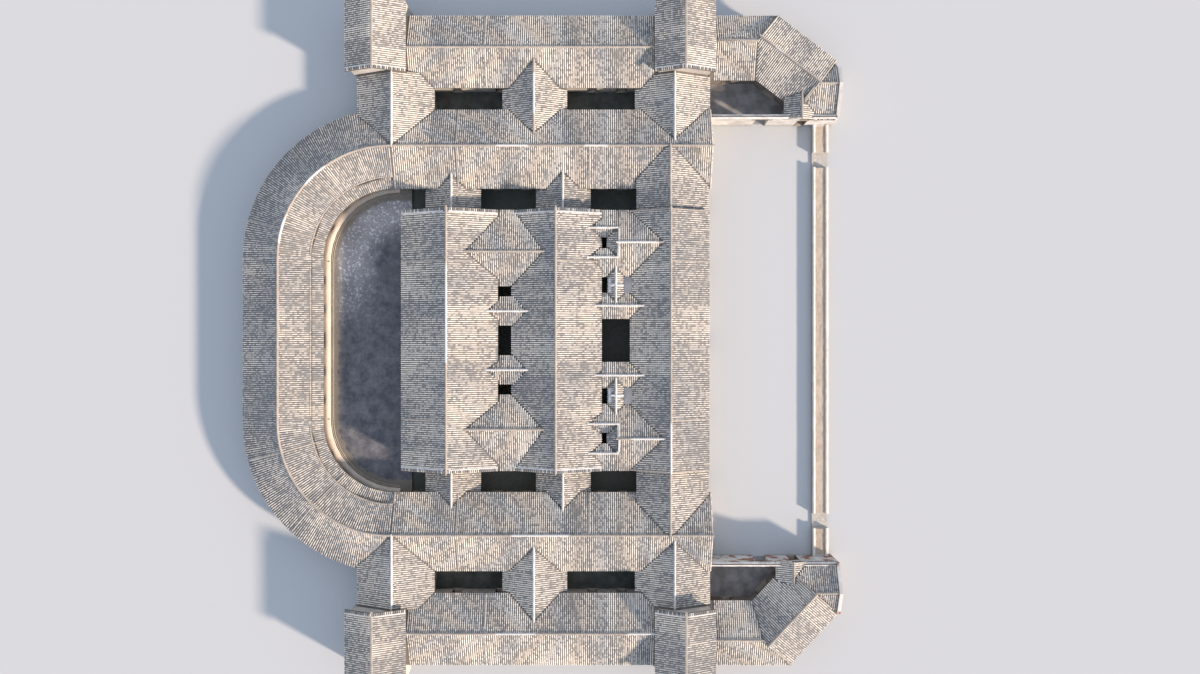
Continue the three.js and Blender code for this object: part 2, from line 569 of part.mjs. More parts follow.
pieces.rear_hall_walls = standUnderRoofs(
  wallRectangle(hallX, [rearHallFront, rearHallRear]),
  [
    ...holesFacingY(HALL_OPENING, rearHallFront, [0]),
    ...holesFacingY(DOOR, rearHallFront, bothSides([10.8])),
    ...holesFacingY(DOOR, rearHallRear, bothSides([5.0])),
    ...holesFacingX(DOOR, hallWallX, [6.6, 11.0]),
    ...holesFacingX(DOOR, -hallWallX, [6.6, 11.0]),
  ],
);
pieces.middle_hall_walls = standUnderRoofs(
  join([
    wallRectangle(hallX, [middleHallFront, middleHallRear]),
    ...crossingWalls(REAR_CROSS.innerX, middleHallRear - WALL / 2, rearHallFront - GAP),
    ...crossingWalls(FRONT_CROSS.innerX, frontHallRear + GAP, middleHallFront + WALL / 2),
  ]),
  [
    ...holesFacingY(HALL_OPENING, middleHallRear, [0]),
    ...holesFacingY(HALL_OPENING, middleHallFront, [0]),
    ...holesFacingY(DOOR, middleHallRear, bothSides([10.8])),
    ...holesFacingY(DOOR, middleHallFront, bothSides([11.6])),
    ...holesFacingX(DOOR, hallWallX, [4.2, -2.7, -9.0]),
    ...holesFacingX(DOOR, -hallWallX, [4.2, -2.7, -9.0]),
    ...bothSides([FRONT_CROSS.innerX + OVERHANG]).flatMap((x) => holesFacingX(DOOR, x, [-9.0])),
    ...bothSides([REAR_CROSS.innerX + OVERHANG]).flatMap((x) => holesFacingX(DOOR, x, [4.2])),
  ],
);
const sideHallX = [hallWallX - WALL, INNER_ROW.innerX + OVERHANG - GAP];
const sideHallRear = hallFaces(FRONT_HALL_SIDE)[1];
const sideHallYs = [frontHallFront + WALL / 2, sideHallRear - WALL / 2];
const sideHallWalls = Object.values(SIDES).flatMap((side) => sideHallYs.map(
  (y) => straightWall([side * sideHallX[0], y], [side * sideHallX[1], y]),
));
pieces.front_hall_walls = standUnderRoofs(
  join([wallRectangle(hallX, [frontHallFront, frontHallRear]), ...sideHallWalls]),
  [
    ...holesFacingY(HALL_OPENING, frontHallRear, [0]),
    ...holesFacingY(WIDE_DOOR, frontHallFront, [0]),
    ...holesFacingY(DOOR, frontHallFront, bothSides([9.0, 17.0])),
    ...holesFacingY(WINDOW, frontHallFront, bothSides([5.4, 12.4])),
    ...holesFacingY(DOOR, frontHallRear, bothSides([11.6])),
    ...holesFacingY(DOOR, sideHallRear, bothSides([17.0])),
    ...holesFacingX(DOOR, hallWallX, [-15.5]),
    ...holesFacingX(DOOR, -hallWallX, [-15.5]),
  ],
);

// Gate ranges: walls on the outline of the bent range, the forecourt wall, and the floor inside them
for (const [sideName, side] of Object.entries(SIDES)) {
  const { end, outwards, onLine, innerSpan, outerSpan, wingY } = gates[sideName];
  const inset = OVERHANG + WALL / 2;
  const outerX = side * (GATE_ROW.outerX - inset);
  const innerX = side * (GATE_ROW.innerX + inset);
  const outerCorner = (x) => onLine(outerSpan - inset, x);
  const innerCorner = (x) => onLine(inset - innerSpan, x);
  const rearY = towerWalls.front[0] - GAP;
  const forecourtX = side * FORECOURT_WALL.x;
  const pondY = POND_END.faceY + WALL / 2;
  const wingWallY = wingY + POND_END_WING.halfSpan - inset;
  const pondOuterX = side * (POND_END.outerX - inset);
  const outerLine = [
    [outerX, rearY - WALL / 2], outerCorner(outerX), outerCorner(pondOuterX), [pondOuterX, pondY],
  ];
  const innerEnd = innerCorner(side * INNER_CORNER_X);
  const innerLine = [[innerX, rearY - WALL / 2], innerCorner(innerX), innerEnd];
  const wall = (from, to, top) => {
    const way = new THREE.Vector2(to[0] - from[0], to[1] - from[1]).normalize();
    way.multiplyScalar(WALL / 2 - GAP);
    return straightWall([from[0] - way.x, from[1] - way.y], [to[0] + way.x, to[1] + way.y], top, 0);
  };
  const wallsAlong = (line, top) => line.slice(1).map((point, index) => wall(line[index], point, top));
  const outline = [...outerLine, [forecourtX, pondY], [forecourtX, rearY]];
  const floorShape = new THREE.Shape(outline.map(([x, y]) => new THREE.Vector2(x, y)));
  const floor = toSolid(new THREE.ExtrudeGeometry(floorShape, { depth: FLOOR, bevelEnabled: false }));
  const gateMiddle = (line, index) => [
    (line[index][0] + line[index + 1][0]) / 2, (line[index][1] + line[index + 1][1]) / 2,
  ];
  const forecourtRear = INNER_ROW.frontY + TOWER_VERGE;
  const ridgeX = Math.abs(end[0]);
  const parapetTop = (x) => POND_END.ridge + POND_END.parapet - Math.abs(x - ridgeX) * PITCH;
  const parapetXs = [Math.abs(pondOuterX) + WALL / 2, ridgeX, FORECOURT_WALL.x - WALL / 2];
  const parapetSection = [
    ...parapetXs.map((x) => [-side * x, parapetTop(x)]),
    [-side * parapetXs[2], 0],
    [-side * parapetXs[0], 0],
  ];
  const parapet = prism(parapetSection, [0, POND_END.faceY], [0, POND_END.faceY + WALL]);
  const walls = standUnderRoofs(
    join([
      ...wallsAlong(outerLine, GATE_WALL_TOP),
      ...wallsAlong(innerLine, GATE_WALL_TOP),
      parapet,
      wall(innerEnd, [innerEnd[0], wingWallY], GATE_WALL_TOP),
      wall([forecourtX, wingWallY], [innerEnd[0], wingWallY], GATE_WALL_TOP),
      wall(
        [forecourtX, forecourtRear - WALL / 2], [forecourtX, FORECOURT_WALL.gateFromY], FORECOURT_WALL.height,
      ),
      wall([forecourtX, FORECOURT_WALL.gateToY], [forecourtX, pondY], FORECOURT_WALL.height),
    ]),
    [
      box([-50, 50], [POND_END.faceY - 5, POND_END.faceY], [GROUND, SKY]),
      hole(WIDE_DOOR, gateMiddle(outerLine, 1), [outwards.x, outwards.y]),
      hole(WIDE_DOOR, gateMiddle(innerLine, 1), [outwards.x, outwards.y]),
      ...holesFacingX(HIGH_WINDOW, outerX, [-22.5, -25.0]),
      ...holesFacingX(DOOR, innerX, [-22.8]),
      ...holesFacingY(HIGH_WINDOW, pondY, [side * 29.0, side * 31.0]),
      ...holesFacingX(DOOR, forecourtX, [wingY - 0.5]),
    ],
  );
  pieces[`gate_range_${sideName}_walls`] = walls.add(floor);
}

// Low wall at the pond: two thin walls with earth held between them, and a stone sill across each gap
const pondWallX = FORECOURT_WALL.x - WALL / 2 - GAP;
const pondWallGaps = bothSides([1]).map((side) => box(
  [side * POND_WALL.gap[0], side * POND_WALL.gap[1]],
  [POND_WALL.frontY - 1, POND_WALL.rearY + 1],
  [POND_WALL.threshold, SKY],
));
const pondWall = box([-pondWallX, pondWallX], [POND_WALL.frontY, POND_WALL.rearY], [0, POND_WALL.height]);
const pondWallTrough = box(
  [-pondWallX + POND_WALL.thickness, pondWallX - POND_WALL.thickness],
  [POND_WALL.frontY + POND_WALL.thickness, POND_WALL.rearY - POND_WALL.thickness],
  [POND_WALL.height - 0.2, SKY],
);
pieces.pond_side_wall = cut(pondWall, [pondWallTrough, ...pondWallGaps]);

// Floor of the main house and the raised crescent yard behind the rear hall
function horseshoePlate(radius, frontY, bottom, top) {
  const halfWidth = RING.centreX + radius;
  const shape = new THREE.Shape();
  shape.moveTo(-halfWidth, frontY);
  shape.lineTo(halfWidth, frontY);
  shape.lineTo(halfWidth, RING.centreY);
  shape.absarc(RING.centreX, RING.centreY, radius, 0, Math.PI / 2);
  shape.absarc(-RING.centreX, RING.centreY, radius, Math.PI / 2, Math.PI);
  const plate = new THREE.ExtrudeGeometry(
    shape, { depth: top - bottom, bevelEnabled: false, curveSegments: RING.segments / 8 },
  );
  plate.translate(0, 0, bottom);
  return toSolid(plate);
}
pieces.house_floor = horseshoePlate(RING.outerWall, INNER_ROW.frontY + TOWER_VERGE, 0, FLOOR);
const yardHalfWidth = INNER_ROW.innerX + OVERHANG - GAP;
pieces.crescent_yard = horseshoePlate(
  RING.innerWall - GAP, CRESCENT_YARD.frontY, FLOOR + GAP, CRESCENT_YARD.height,
).subtract(join(Object.values(SIDES).map((side) => box(
  [side * yardHalfWidth, side * 30], [0, RING.centreY + GAP], [GROUND, SKY],
))));

// One named mesh for each piece
const MATERIALS = {
  roof: new THREE.MeshStandardMaterial({ color: 0x8d8578, roughness: 0.9, metalness: 0 }),
  walls: new THREE.MeshStandardMaterial({ color: 0xcfc7b6, roughness: 0.95, metalness: 0 }),
  stone: new THREE.MeshStandardMaterial({ color: 0x77736b, roughness: 0.95, metalness: 0 }),
};

function toMesh(name, solid, material) {
  const { vertProperties, triVerts } = solid.getMesh();
  const geometry = new THREE.BufferGeometry();
  geometry.setAttribute('position', new THREE.BufferAttribute(new Float32Array(vertProperties), 3));
  geometry.setIndex(new THREE.BufferAttribute(new Uint32Array(triVerts), 1));
  geometry.computeVertexNormals();
  const mesh = new THREE.Mesh(geometry, material);
  mesh.name = name;
  return mesh;
}

const house = new THREE.Group();
for (const [name, { shell }] of Object.entries(roofs)) {
  house.add(toMesh(name, shell, MATERIALS.roof));
}
for (const [name, solid] of Object.entries(pieces)) {
  const isStone = ['house_floor', 'crescent_yard'].includes(name);
  house.add(toMesh(name, solid, isStone ? MATERIALS.stone : MATERIALS.walls));
}
house.scale.setScalar(MM_PER_METRE);

export default house;
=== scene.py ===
# %% [markdown]
# # A hakka walled house, dressed over its CAD frame
#
# The house is a weilongwu: a horseshoe of rooms round a crescent yard, three halls, side rows, corner
# towers and two gate ranges. The CAD model gives the walls and the roof planes at 1:10. This lesson lays
# the clay tiles, ridges, valleys and mortar on those planes, gives the walls their lime wash and fits the
# doors and windows with timber. Everything is in metres of the model, so one real metre is SCALE.

# %% Load the frame
import json
import math

import bmesh
import bpy
import numpy as np
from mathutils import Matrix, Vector, noise
from mathutils.bvhtree import BVHTree

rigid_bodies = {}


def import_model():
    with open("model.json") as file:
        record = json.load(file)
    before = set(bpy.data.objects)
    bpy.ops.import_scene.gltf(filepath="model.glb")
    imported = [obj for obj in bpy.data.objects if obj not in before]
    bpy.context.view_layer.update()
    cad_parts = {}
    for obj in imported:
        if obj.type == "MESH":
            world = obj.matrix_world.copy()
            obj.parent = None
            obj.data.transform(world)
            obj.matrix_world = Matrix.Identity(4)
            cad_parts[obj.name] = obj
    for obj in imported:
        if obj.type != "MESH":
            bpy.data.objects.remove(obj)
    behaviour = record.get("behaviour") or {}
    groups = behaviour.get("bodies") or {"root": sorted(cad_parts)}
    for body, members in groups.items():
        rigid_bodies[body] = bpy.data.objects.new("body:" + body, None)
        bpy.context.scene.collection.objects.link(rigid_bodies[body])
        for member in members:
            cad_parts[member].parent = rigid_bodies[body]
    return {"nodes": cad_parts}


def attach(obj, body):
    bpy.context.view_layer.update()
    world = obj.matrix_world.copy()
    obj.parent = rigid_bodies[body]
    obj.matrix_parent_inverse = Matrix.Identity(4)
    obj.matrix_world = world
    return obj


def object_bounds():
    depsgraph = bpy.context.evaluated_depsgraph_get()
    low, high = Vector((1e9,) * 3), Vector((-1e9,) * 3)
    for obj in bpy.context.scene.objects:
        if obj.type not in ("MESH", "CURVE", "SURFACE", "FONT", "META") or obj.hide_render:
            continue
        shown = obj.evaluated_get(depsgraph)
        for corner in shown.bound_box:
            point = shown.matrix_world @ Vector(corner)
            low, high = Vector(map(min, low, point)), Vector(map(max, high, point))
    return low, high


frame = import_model()
CAD_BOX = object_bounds()
SCALE = 0.1
NODES = frame["nodes"]
ROOF_NAMES = sorted(name for name in NODES if name.endswith("_roof"))
WALL_NAMES = sorted(name for name in NODES if name.endswith(("_walls", "_wall")))
print(f"{len(NODES)} nodes, {len(ROOF_NAMES)} of them roofs, box {CAD_BOX[0]} to {CAD_BOX[1]}")

# %% [markdown]
# ## Camera, light and floor
#
# The photograph looks straight down from 106 m above the ground, a little to one side of the house's
# middle, with the front of the house at the right of the picture. The sun stands over the front left
# corner, so roof slopes that face the front or the left are warm and bright, and the others lie in a soft
# cool shade.

# %% Camera over the forecourt side of the middle
CAMERA_HEIGHT = 106.25 * SCALE
VIEW_WIDTH = 150.0 * SCALE
SENSOR_WIDTH = 36.0


def make_camera():
    data = bpy.data.cameras.new("photo_camera")
    data.sensor_width = SENSOR_WIDTH
    data.lens = SENSOR_WIDTH * CAMERA_HEIGHT / VIEW_WIDTH
    data.clip_end = 100.0
    camera = bpy.data.objects.new("photo_camera", data)
    camera.location = (0.41 * SCALE, -7.15 * SCALE, CAMERA_HEIGHT)
    camera.rotation_euler = (0.0, 0.0, math.radians(-90.0))
    bpy.context.scene.collection.objects.link(camera)
    bpy.context.scene.camera = camera
    return camera


camera = make_camera()
print(f"camera at {tuple(round(value, 3) for value in camera.location)}, lens {camera.data.lens:.1f} mm")

# %% Sun, sky and floor
SUN_AZIMUTH = math.radians(-29.0)
SUN_ELEVATION = math.radians(22.6)


def make_light():
    data = bpy.data.lights.new("sun", "SUN")
    data.energy = 7.5
    data.angle = math.radians(4.0)
    data.color = (1.0, 0.82, 0.66)
    sun = bpy.data.objects.new("sun", data)
    from_sun = Vector((
        -math.sin(SUN_AZIMUTH) * math.cos(SUN_ELEVATION),
        math.cos(SUN_AZIMUTH) * math.cos(SUN_ELEVATION),
        -math.sin(SUN_ELEVATION),
    ))
    sun.rotation_euler = from_sun.to_track_quat("-Z", "Y").to_euler()
    bpy.context.scene.collection.objects.link(sun)
    world = bpy.data.worlds.new("sky")
    world.use_nodes = True
    background = world.node_tree.nodes["Background"]
    background.inputs["Color"].default_value = (0.72, 0.82, 1.0, 1.0)
    background.inputs["Strength"].default_value = 1.05
    bpy.context.scene.world = world
    bpy.context.scene.view_settings.view_transform = "Standard"
    return sun


def make_floor():
    size = 60.0
    mesh = bpy.data.meshes.new("studio_floor")
    corners = [(-size, -size, 0), (size, -size, 0), (size, size, 0), (-size, size, 0)]
    mesh.from_pydata(corners, [], [(0, 1, 2, 3)])
    floor = bpy.data.objects.new("studio_floor", mesh)
    floor.location.z = -0.0005
    material = bpy.data.materials.new("studio_floor")
    material.use_nodes = True
    shader = material.node_tree.nodes["Principled BSDF"]
    shader.inputs["Base Color"].default_value = (0.43, 0.44, 0.45, 1.0)
    shader.inputs["Roughness"].default_value = 0.9
    shader.inputs["Specular IOR Level"].default_value = 0.0
    mesh.materials.append(material)
    bpy.context.scene.collection.objects.link(floor)
    return floor


make_light()
make_floor()
print("sun, sky and floor made")

# %% [markdown]
# ## Shared finishes
#
# Old lime wash and clay tiles share their wear: broad blotches, smaller patches and fine grain. One shader
# node group makes all three. It is built once and placed in every material with its own scales. It puts out
# only masks, and the Principled shader stays in each material.

# %% Node helpers
def connect(tree, socket, value):
    """Sets a socket to a constant, or links it to what feeds it."""
    if isinstance(value, (int, float, str)):
        socket.default_value = value
    elif isinstance(value, tuple):
        socket.default_value = (*value, 1.0) if socket.type == "RGBA" else value
    else:
        tree.links.new(getattr(value, "socket", value), socket)


def add_node(tree, kind, inputs=None, **settings):
    """Adds a node with its settings, and feeds the inputs that are given by name or number."""
    node = tree.nodes.new(kind)
    for name, value in settings.items():
        setattr(node, name, value)
    for key, value in (inputs or {}).items():
        connect(tree, node.inputs[key], value)
    return node


def new_group(name, kind, inputs, outputs):
    """A node group with named sockets: its tree, the sockets it is given and those it fills."""
    tree = bpy.data.node_groups.new(name, kind)
    for way, sockets in (("INPUT", inputs), ("OUTPUT", outputs)):
        for label, form in sockets.items():
            tree.interface.new_socket(label, in_out=way, socket_type="NodeSocket" + form)
    return tree, tree.nodes.new("NodeGroupInput").outputs, tree.nodes.new("NodeGroupOutput").inputs


def reckon(tree, operation, *terms, clamp=False):
    node = add_node(tree, "ShaderNodeMath", dict(enumerate(terms)), operation=operation, use_clamp=clamp)
    return Value(tree, node.outputs[0])


class Value:
    """A number in a node tree. Each sum, product or comparison of values adds one Math node."""

    def __init__(self, tree, socket):
        self.tree = tree
        self.socket = socket

    def apply(self, operation, *others):
        return reckon(self.tree, operation, self, *others)

    def __add__(self, other):
        return self.apply("ADD", other)

    def __sub__(self, other):
        return self.apply("SUBTRACT", other)

    def __rsub__(self, other):
        return reckon(self.tree, "SUBTRACT", other, self)

    def __mul__(self, other):
        return self.apply("MULTIPLY", other)

    def __gt__(self, other):
        return self.apply("GREATER_THAN", other)

    def __lt__(self, other):
        return self.apply("LESS_THAN", other)

    def held(self, factor):
        """The value times a factor, held between 0 and 1."""
        return reckon(self.tree, "MULTIPLY", self, factor, clamp=True)

    def ramp(self, low, high):
        """0 at one value and 1 at the other, held there beyond them."""
        node = add_node(self.tree, "ShaderNodeMapRange", {"Value": self, "From Min": low, "From Max": high})
        return Value(self.tree, node.outputs["Result"])


def add_noise(tree, vector, scale, detail, roughness):
    inputs = {"Vector": vector, "Scale": scale, "Detail": detail, "Roughness": roughness}
    return Value(tree, add_node(tree, "ShaderNodeTexNoise", inputs).outputs["Fac"])


print("node helpers ready")

# %% Age: blotches of two sizes and fine grain
def make_age_group():
    tree, given, out = new_group(
        "age", "ShaderNodeTree",
        {"Vector": "Vector", "Broad Scale": "Float", "Fine Scale": "Float"},
        {"Broad": "Float", "Patch": "Float", "Fine": "Float"},
    )
    broad_scale = Value(tree, given["Broad Scale"])
    grains = {
        "Broad": (broad_scale, 4.0, (0.32, 0.68)),
        "Patch": (broad_scale * 4.3, 3.0, (0.36, 0.68)),
        "Fine": (given["Fine Scale"], 2.0, (0.30, 0.70)),
    }
    for label, (scale, detail, ends) in grains.items():
        connect(tree, out[label], add_noise(tree, given["Vector"], scale, detail, 0.6).ramp(*ends))
    return tree


AGE = make_age_group()
print("age group:", [socket.name for socket in AGE.interface.items_tree])

# %% [markdown]
# ## Clay tile
#
# A Hakka roof is laid with small fired tiles: concave ones make the gutters, and convex ones cover the
# joints between them. New clay is warm grey, and it bleaches to cream where the sun and the lime mortar
# reach it. The gutters are painted dark, as painted shade between the covers. One material serves the
# covers, with a tone for each tile stored by Geometry Nodes, and a darker one the gutters between them.

# %% Tile materials
COURSE_HEIGHT = 0.04 * SCALE


class Finish:
    """A material while it is built: its tree, its shader, and the place on the piece."""

    def __init__(self, name, roughness):
        self.material = bpy.data.materials.new(name)
        self.material.use_nodes = True
        self.tree = self.material.node_tree
        self.shader = self.tree.nodes["Principled BSDF"]
        self.shader.inputs["Roughness"].default_value = roughness
        self.shader.inputs["Specular IOR Level"].default_value = 0.25
        self.place = self.tree.nodes.new("ShaderNodeTexCoord").outputs["Object"]

    def values(self, node, *labels):
        return [Value(self.tree, node.outputs[label]) for label in labels]

    def axes(self):
        return self.values(add_node(self.tree, "ShaderNodeSeparateXYZ", {0: self.place}), 0, 1, 2)

    def age(self, broad_scale, fine_scale):
        inputs = {"Vector": self.place, "Broad Scale": broad_scale, "Fine Scale": fine_scale}
        node = add_node(self.tree, "ShaderNodeGroup", inputs, node_tree=AGE)
        return self.values(node, "Broad", "Patch", "Fine")

    def attribute(self, name):
        return self.values(add_node(self.tree, "ShaderNodeAttribute", attribute_name=name), "Fac")[0]

    def mix(self, factor, a, b, blend="MIX"):
        inputs = {0: factor, 6: a, 7: b}
        return add_node(self.tree, "ShaderNodeMix", inputs, data_type="RGBA", blend_type=blend).outputs[2]

    def done(self, colour, height, strength, distance):
        """Feeds the colour and a bump to the shader, and hands back the material."""
        inputs = {"Strength": strength, "Distance": distance, "Height": height}
        bump = add_node(self.tree, "ShaderNodeBump", inputs)
        connect(self.tree, self.shader.inputs["Base Color"], colour)
        connect(self.tree, self.shader.inputs["Normal"], bump.outputs["Normal"])
        return self.material


def make_cover_tile_material():
    finish = Finish("cover_tile", 0.88)
    broad, patch, fine = finish.age(2.2, 46.0)
    tone = finish.attribute("tile_tone")
    bay = finish.attribute("bay_tone")
    colour = finish.mix(bay, (0.36, 0.355, 0.35), (0.66, 0.615, 0.55))
    colour = finish.mix(broad * 0.5, colour, (0.62, 0.545, 0.455))
    worn = 0.62 - bay * 0.52 + patch.ramp(0.3, 1.0) * 0.4
    old_tile = (worn - tone).held(3.0)
    colour = finish.mix(old_tile * 0.72, colour, (0.235, 0.24, 0.25))
    soot = fine.ramp(0.62, 1.0) * 0.30
    colour = finish.mix(soot, colour, (0.19, 0.185, 0.18))
    spread = tone * 0.34 + 0.84
    grey = add_node(finish.tree, "ShaderNodeCombineColor", {0: spread, 1: spread, 2: spread})
    colour = finish.mix(1.0, colour, grey.outputs[0], "MULTIPLY")
    return finish.done(colour, fine, 0.4, 0.001)


def make_gutter_tile_material():
    finish = Finish("gutter_tile", 0.92)
    broad, patch, _ = finish.age(2.0, 60.0)
    # Painted shade: the gutters' dark tone stands for the shade that falls between the covers
    colour = finish.mix(broad, (0.070, 0.072, 0.078), (0.15, 0.135, 0.115))
    colour = finish.mix(patch * 0.5, colour, (0.24, 0.20, 0.155))
    course = finish.axes()[2].apply("DIVIDE", COURSE_HEIGHT).apply("FRACT")
    return finish.done(colour, course, 0.5, 0.0015)


COVER_TILE = make_cover_tile_material()
GUTTER_TILE = make_gutter_tile_material()
print("tile materials made")

# %% Mortar, lime wash and stone
# The walls that face a gate court lie between two distances from the middle, and behind the gatehouse's
# line in plan
COURT_WALLS = (28.5 * SCALE, 34.0 * SCALE)
GATEHOUSE_LINE = (0.74, -0.67, 42.7 * SCALE)
# The left gate range, whose wash has fallen off its bricks, lies beyond this plane
DECAYED_WALLS = -20.0 * SCALE
DAMP_HEIGHTS = (1.1 * SCALE, 0.1 * SCALE)
FLOOR_TOP = 0.152 * SCALE
BARE_BRICKS = {
    "Color1": (0.34, 0.15, 0.09),
    "Color2": (0.22, 0.11, 0.07),
    "Mortar": (0.30, 0.27, 0.23),
    "Scale": 20.0,
    "Mortar Size": 0.015,
}
# Dark brown for the walls of the gate courts: weathered mud brick with painted shade
COURT_WALL_MUD_AND_SHADE = (0.13, 0.105, 0.085)


def add_decay_and_painted_shade(finish, colour, patch, axes):
    """Bricks laid bare on the left walls, and painted shade over mud brick on the gate courts' walls."""
    x, y, z = axes
    turned = add_node(finish.tree, "ShaderNodeCombineXYZ", {"X": x + y, "Y": z})
    bricks = add_node(finish.tree, "ShaderNodeTexBrick", {**BARE_BRICKS, "Vector": turned.outputs[0]})
    bare = patch.ramp(0.50, 0.62) * (x < DECAYED_WALLS)
    colour = finish.mix(bare, colour, bricks.outputs["Color"])
    beside = x.apply("ABSOLUTE")
    reach = beside * GATEHOUSE_LINE[0] + y * GATEHOUSE_LINE[1]
    inside = (beside > COURT_WALLS[0]) * (beside < COURT_WALLS[1]) * (reach < GATEHOUSE_LINE[2])
    # Painted shade over weathered mud brick on the walls that face a gate court
    return finish.mix(inside * 0.85, colour, COURT_WALL_MUD_AND_SHADE)


def make_plaster_material(name, light, dark, stain, broad=1.4, ground=None, decay=False, relimed=None):
    """Plaster with blotches and a damp foot; where asked, a floor, decay with painted shade, new lime."""
    finish = Finish(name, 0.93)
    blotch, patch, fine = finish.age(broad, 36.0)
    axes = finish.axes()
    colour = finish.mix(blotch, light, dark)
    colour = finish.mix(patch * 0.5, colour, stain)
    if relimed:
        stretch = add_noise(finish.tree, finish.place, 1.1, 1.0, 0.4)
        colour = finish.mix(stretch.ramp(0.62, 0.635) * 0.8, colour, relimed)
    damp = axes[2].ramp(*DAMP_HEIGHTS) * fine
    colour = finish.mix(damp * 0.7, colour, stain)
    if decay:
        colour = add_decay_and_painted_shade(finish, colour, patch, axes)
    # The floor at the wall's foot: on the lime walls near black, partly moss, partly painted shade of the
    # courts
    if ground:
        earth = finish.mix(patch, ground, tuple(value * 1.9 for value in ground))
        colour = finish.mix(axes[2] < FLOOR_TOP, colour, earth)
    return finish.done(colour, fine, 0.35, 0.002)


# Each plaster's light and dark tone and its stain, then how broad its blotches are and what else it shows
MORTAR_TONES = ((0.43, 0.375, 0.32), (0.32, 0.285, 0.25), (0.20, 0.19, 0.18))
PLASTERS = {
    # The lime walls' floor is the narrow courts' ground: near black, partly moss, partly painted shade
    "lime_wall": (
        (0.56, 0.525, 0.475), (0.44, 0.41, 0.37), (0.24, 0.225, 0.205), {"ground": (0.055, 0.058, 0.052)},
    ),
    "gate_wall": (
        (0.67, 0.65, 0.62), (0.48, 0.46, 0.43), (0.22, 0.21, 0.20),
        # decay also paints shade on the walls of the gate courts
        {"ground": (0.165, 0.158, 0.155), "decay": True},
    ),
    "mortar": (*MORTAR_TONES, {"broad": 7.0}),
    "ridge_mortar": (*MORTAR_TONES, {"broad": 7.0, "relimed": (0.62, 0.60, 0.58)}),
    "whitewash": ((0.70, 0.685, 0.67), (0.55, 0.535, 0.52), (0.27, 0.26, 0.25), {"broad": 9.0}),
    # Floors of halls, courts and skywells: near black, partly moss, partly painted shade of the deep courts
    "paving_stone": ((0.075, 0.082, 0.082), (0.05, 0.056, 0.052), (0.10, 0.105, 0.085), {}),
    "walk_cement": ((0.70, 0.62, 0.53), (0.60, 0.52, 0.44), (0.50, 0.42, 0.35), {"broad": 2.0}),
    "kerb_stone": ((0.52, 0.45, 0.37), (0.42, 0.36, 0.29), (0.28, 0.25, 0.21), {"broad": 3.0}),
    "pond_wall_cement": ((0.74, 0.70, 0.64), (0.60, 0.56, 0.51), (0.36, 0.33, 0.30), {"broad": 3.0}),
    "packed_earth": ((0.42, 0.34, 0.27), (0.30, 0.24, 0.19), (0.50, 0.43, 0.35), {"broad": 4.0}),
}
MATERIALS = {
    name: make_plaster_material(name, *tones, **options) for name, (*tones, options) in PLASTERS.items()
}
MORTAR = MATERIALS["mortar"]
WHITEWASH = MATERIALS["whitewash"]

# %% The yard's cobbles
# The horseshoe's arcs in real metres: centre, then inner and outer radius and the radius where the pitch is
# true
ARC_CENTRE = (9.8 * SCALE, 17.75 * SCALE)
ARC_ZONES = [
    (13.31 * SCALE, 18.26 * SCALE, 16.2 * SCALE),
    (9.82 * SCALE, 13.29 * SCALE, 11.8 * SCALE),
    (8.56 * SCALE, 9.78 * SCALE, 9.2 * SCALE),
]
# Across the yard the dust begins and is full at these places and radii, and the tan strip of painted
# sunlight at these radii
DUSTY_PLACES = (1.0 * SCALE, 9.0 * SCALE)
DUSTY_RADII = (2.6 * SCALE, 5.2 * SCALE)
SUNLIT_STRIP_RADII = (7.65 * SCALE, 7.85 * SCALE)
RAGGEDNESS = 0.3 * SCALE


def make_yard_material():
    """Dark cobbles, dusty at one end, with painted sunlight as a tan strip along the kerb of the walk."""
    finish = Finish("yard_cobble", 0.95)
    broad, patch, _ = finish.age(2.2, 70.0)
    x, y, _ = finish.axes()
    cobbles = {"Scale": 55.0, "Vector": finish.place}
    stones = add_node(finish.tree, "ShaderNodeTexVoronoi", cobbles, feature="DISTANCE_TO_EDGE")
    joint = finish.values(stones, "Distance")[0].ramp(0.0, 0.12)
    colour = finish.mix(patch, (0.095, 0.097, 0.112), (0.185, 0.184, 0.198))
    past_side = (x.apply("ABSOLUTE") - ARC_CENTRE[0]).apply("MAXIMUM", 0.0)
    past_centre = (y - ARC_CENTRE[1]).apply("MAXIMUM", 0.0)
    radius = (past_centre * past_centre + past_side * past_side).apply("SQRT")
    ragged = radius + patch * RAGGEDNESS
    dust = x.ramp(*DUSTY_PLACES) * ragged.ramp(*DUSTY_RADII) * broad.ramp(-0.35, 0.8)
    colour = finish.mix(dust.held(0.85), colour, (0.42, 0.40, 0.40))
    streak = add_noise(finish.tree, finish.place, 30.0, 4.0, 0.7)
    colour = finish.mix(streak.ramp(0.54, 0.60) * dust * 0.8, colour, (0.80, 0.79, 0.80))
    # Painted sunlight: a tan strip along the kerb, where the sun reaches past the rear hall's shadow
    colour = finish.mix(ragged.ramp(*SUNLIT_STRIP_RADII) * 0.8, colour, (0.235, 0.205, 0.165))
    colour = finish.mix((1.0 - joint) * 0.4, colour, (0.03, 0.03, 0.03))
    return finish.done(colour, joint, 0.5, 0.002)


YARD = make_yard_material()

# %% A finish for each node
for name, node in NODES.items():
    if name in ROOF_NAMES:
        # The roof slab shows as the gutters between the covers, painted dark for their shade
        finish = GUTTER_TILE
    elif name in WALL_NAMES:
        finish = MATERIALS["gate_wall" if name.startswith("gate_range") else "lime_wall"]
    else:
        finish = YARD if name == "crescent_yard" else MATERIALS["paving_stone"]
    node.data.materials.clear()
    node.data.materials.append(finish)
print("materials on", len(NODES), "nodes")

# %% [markdown]
# ## Reading the roof planes
#
# The tiles follow the slopes, so the slopes are read back from the CAD nodes. Each flat facet that faces up
# has a downhill direction, and the tile columns are level steps across it. A column is kept only where
# nothing higher lies over it, which a ray from above finds: that leaves the valleys between roofs clean.

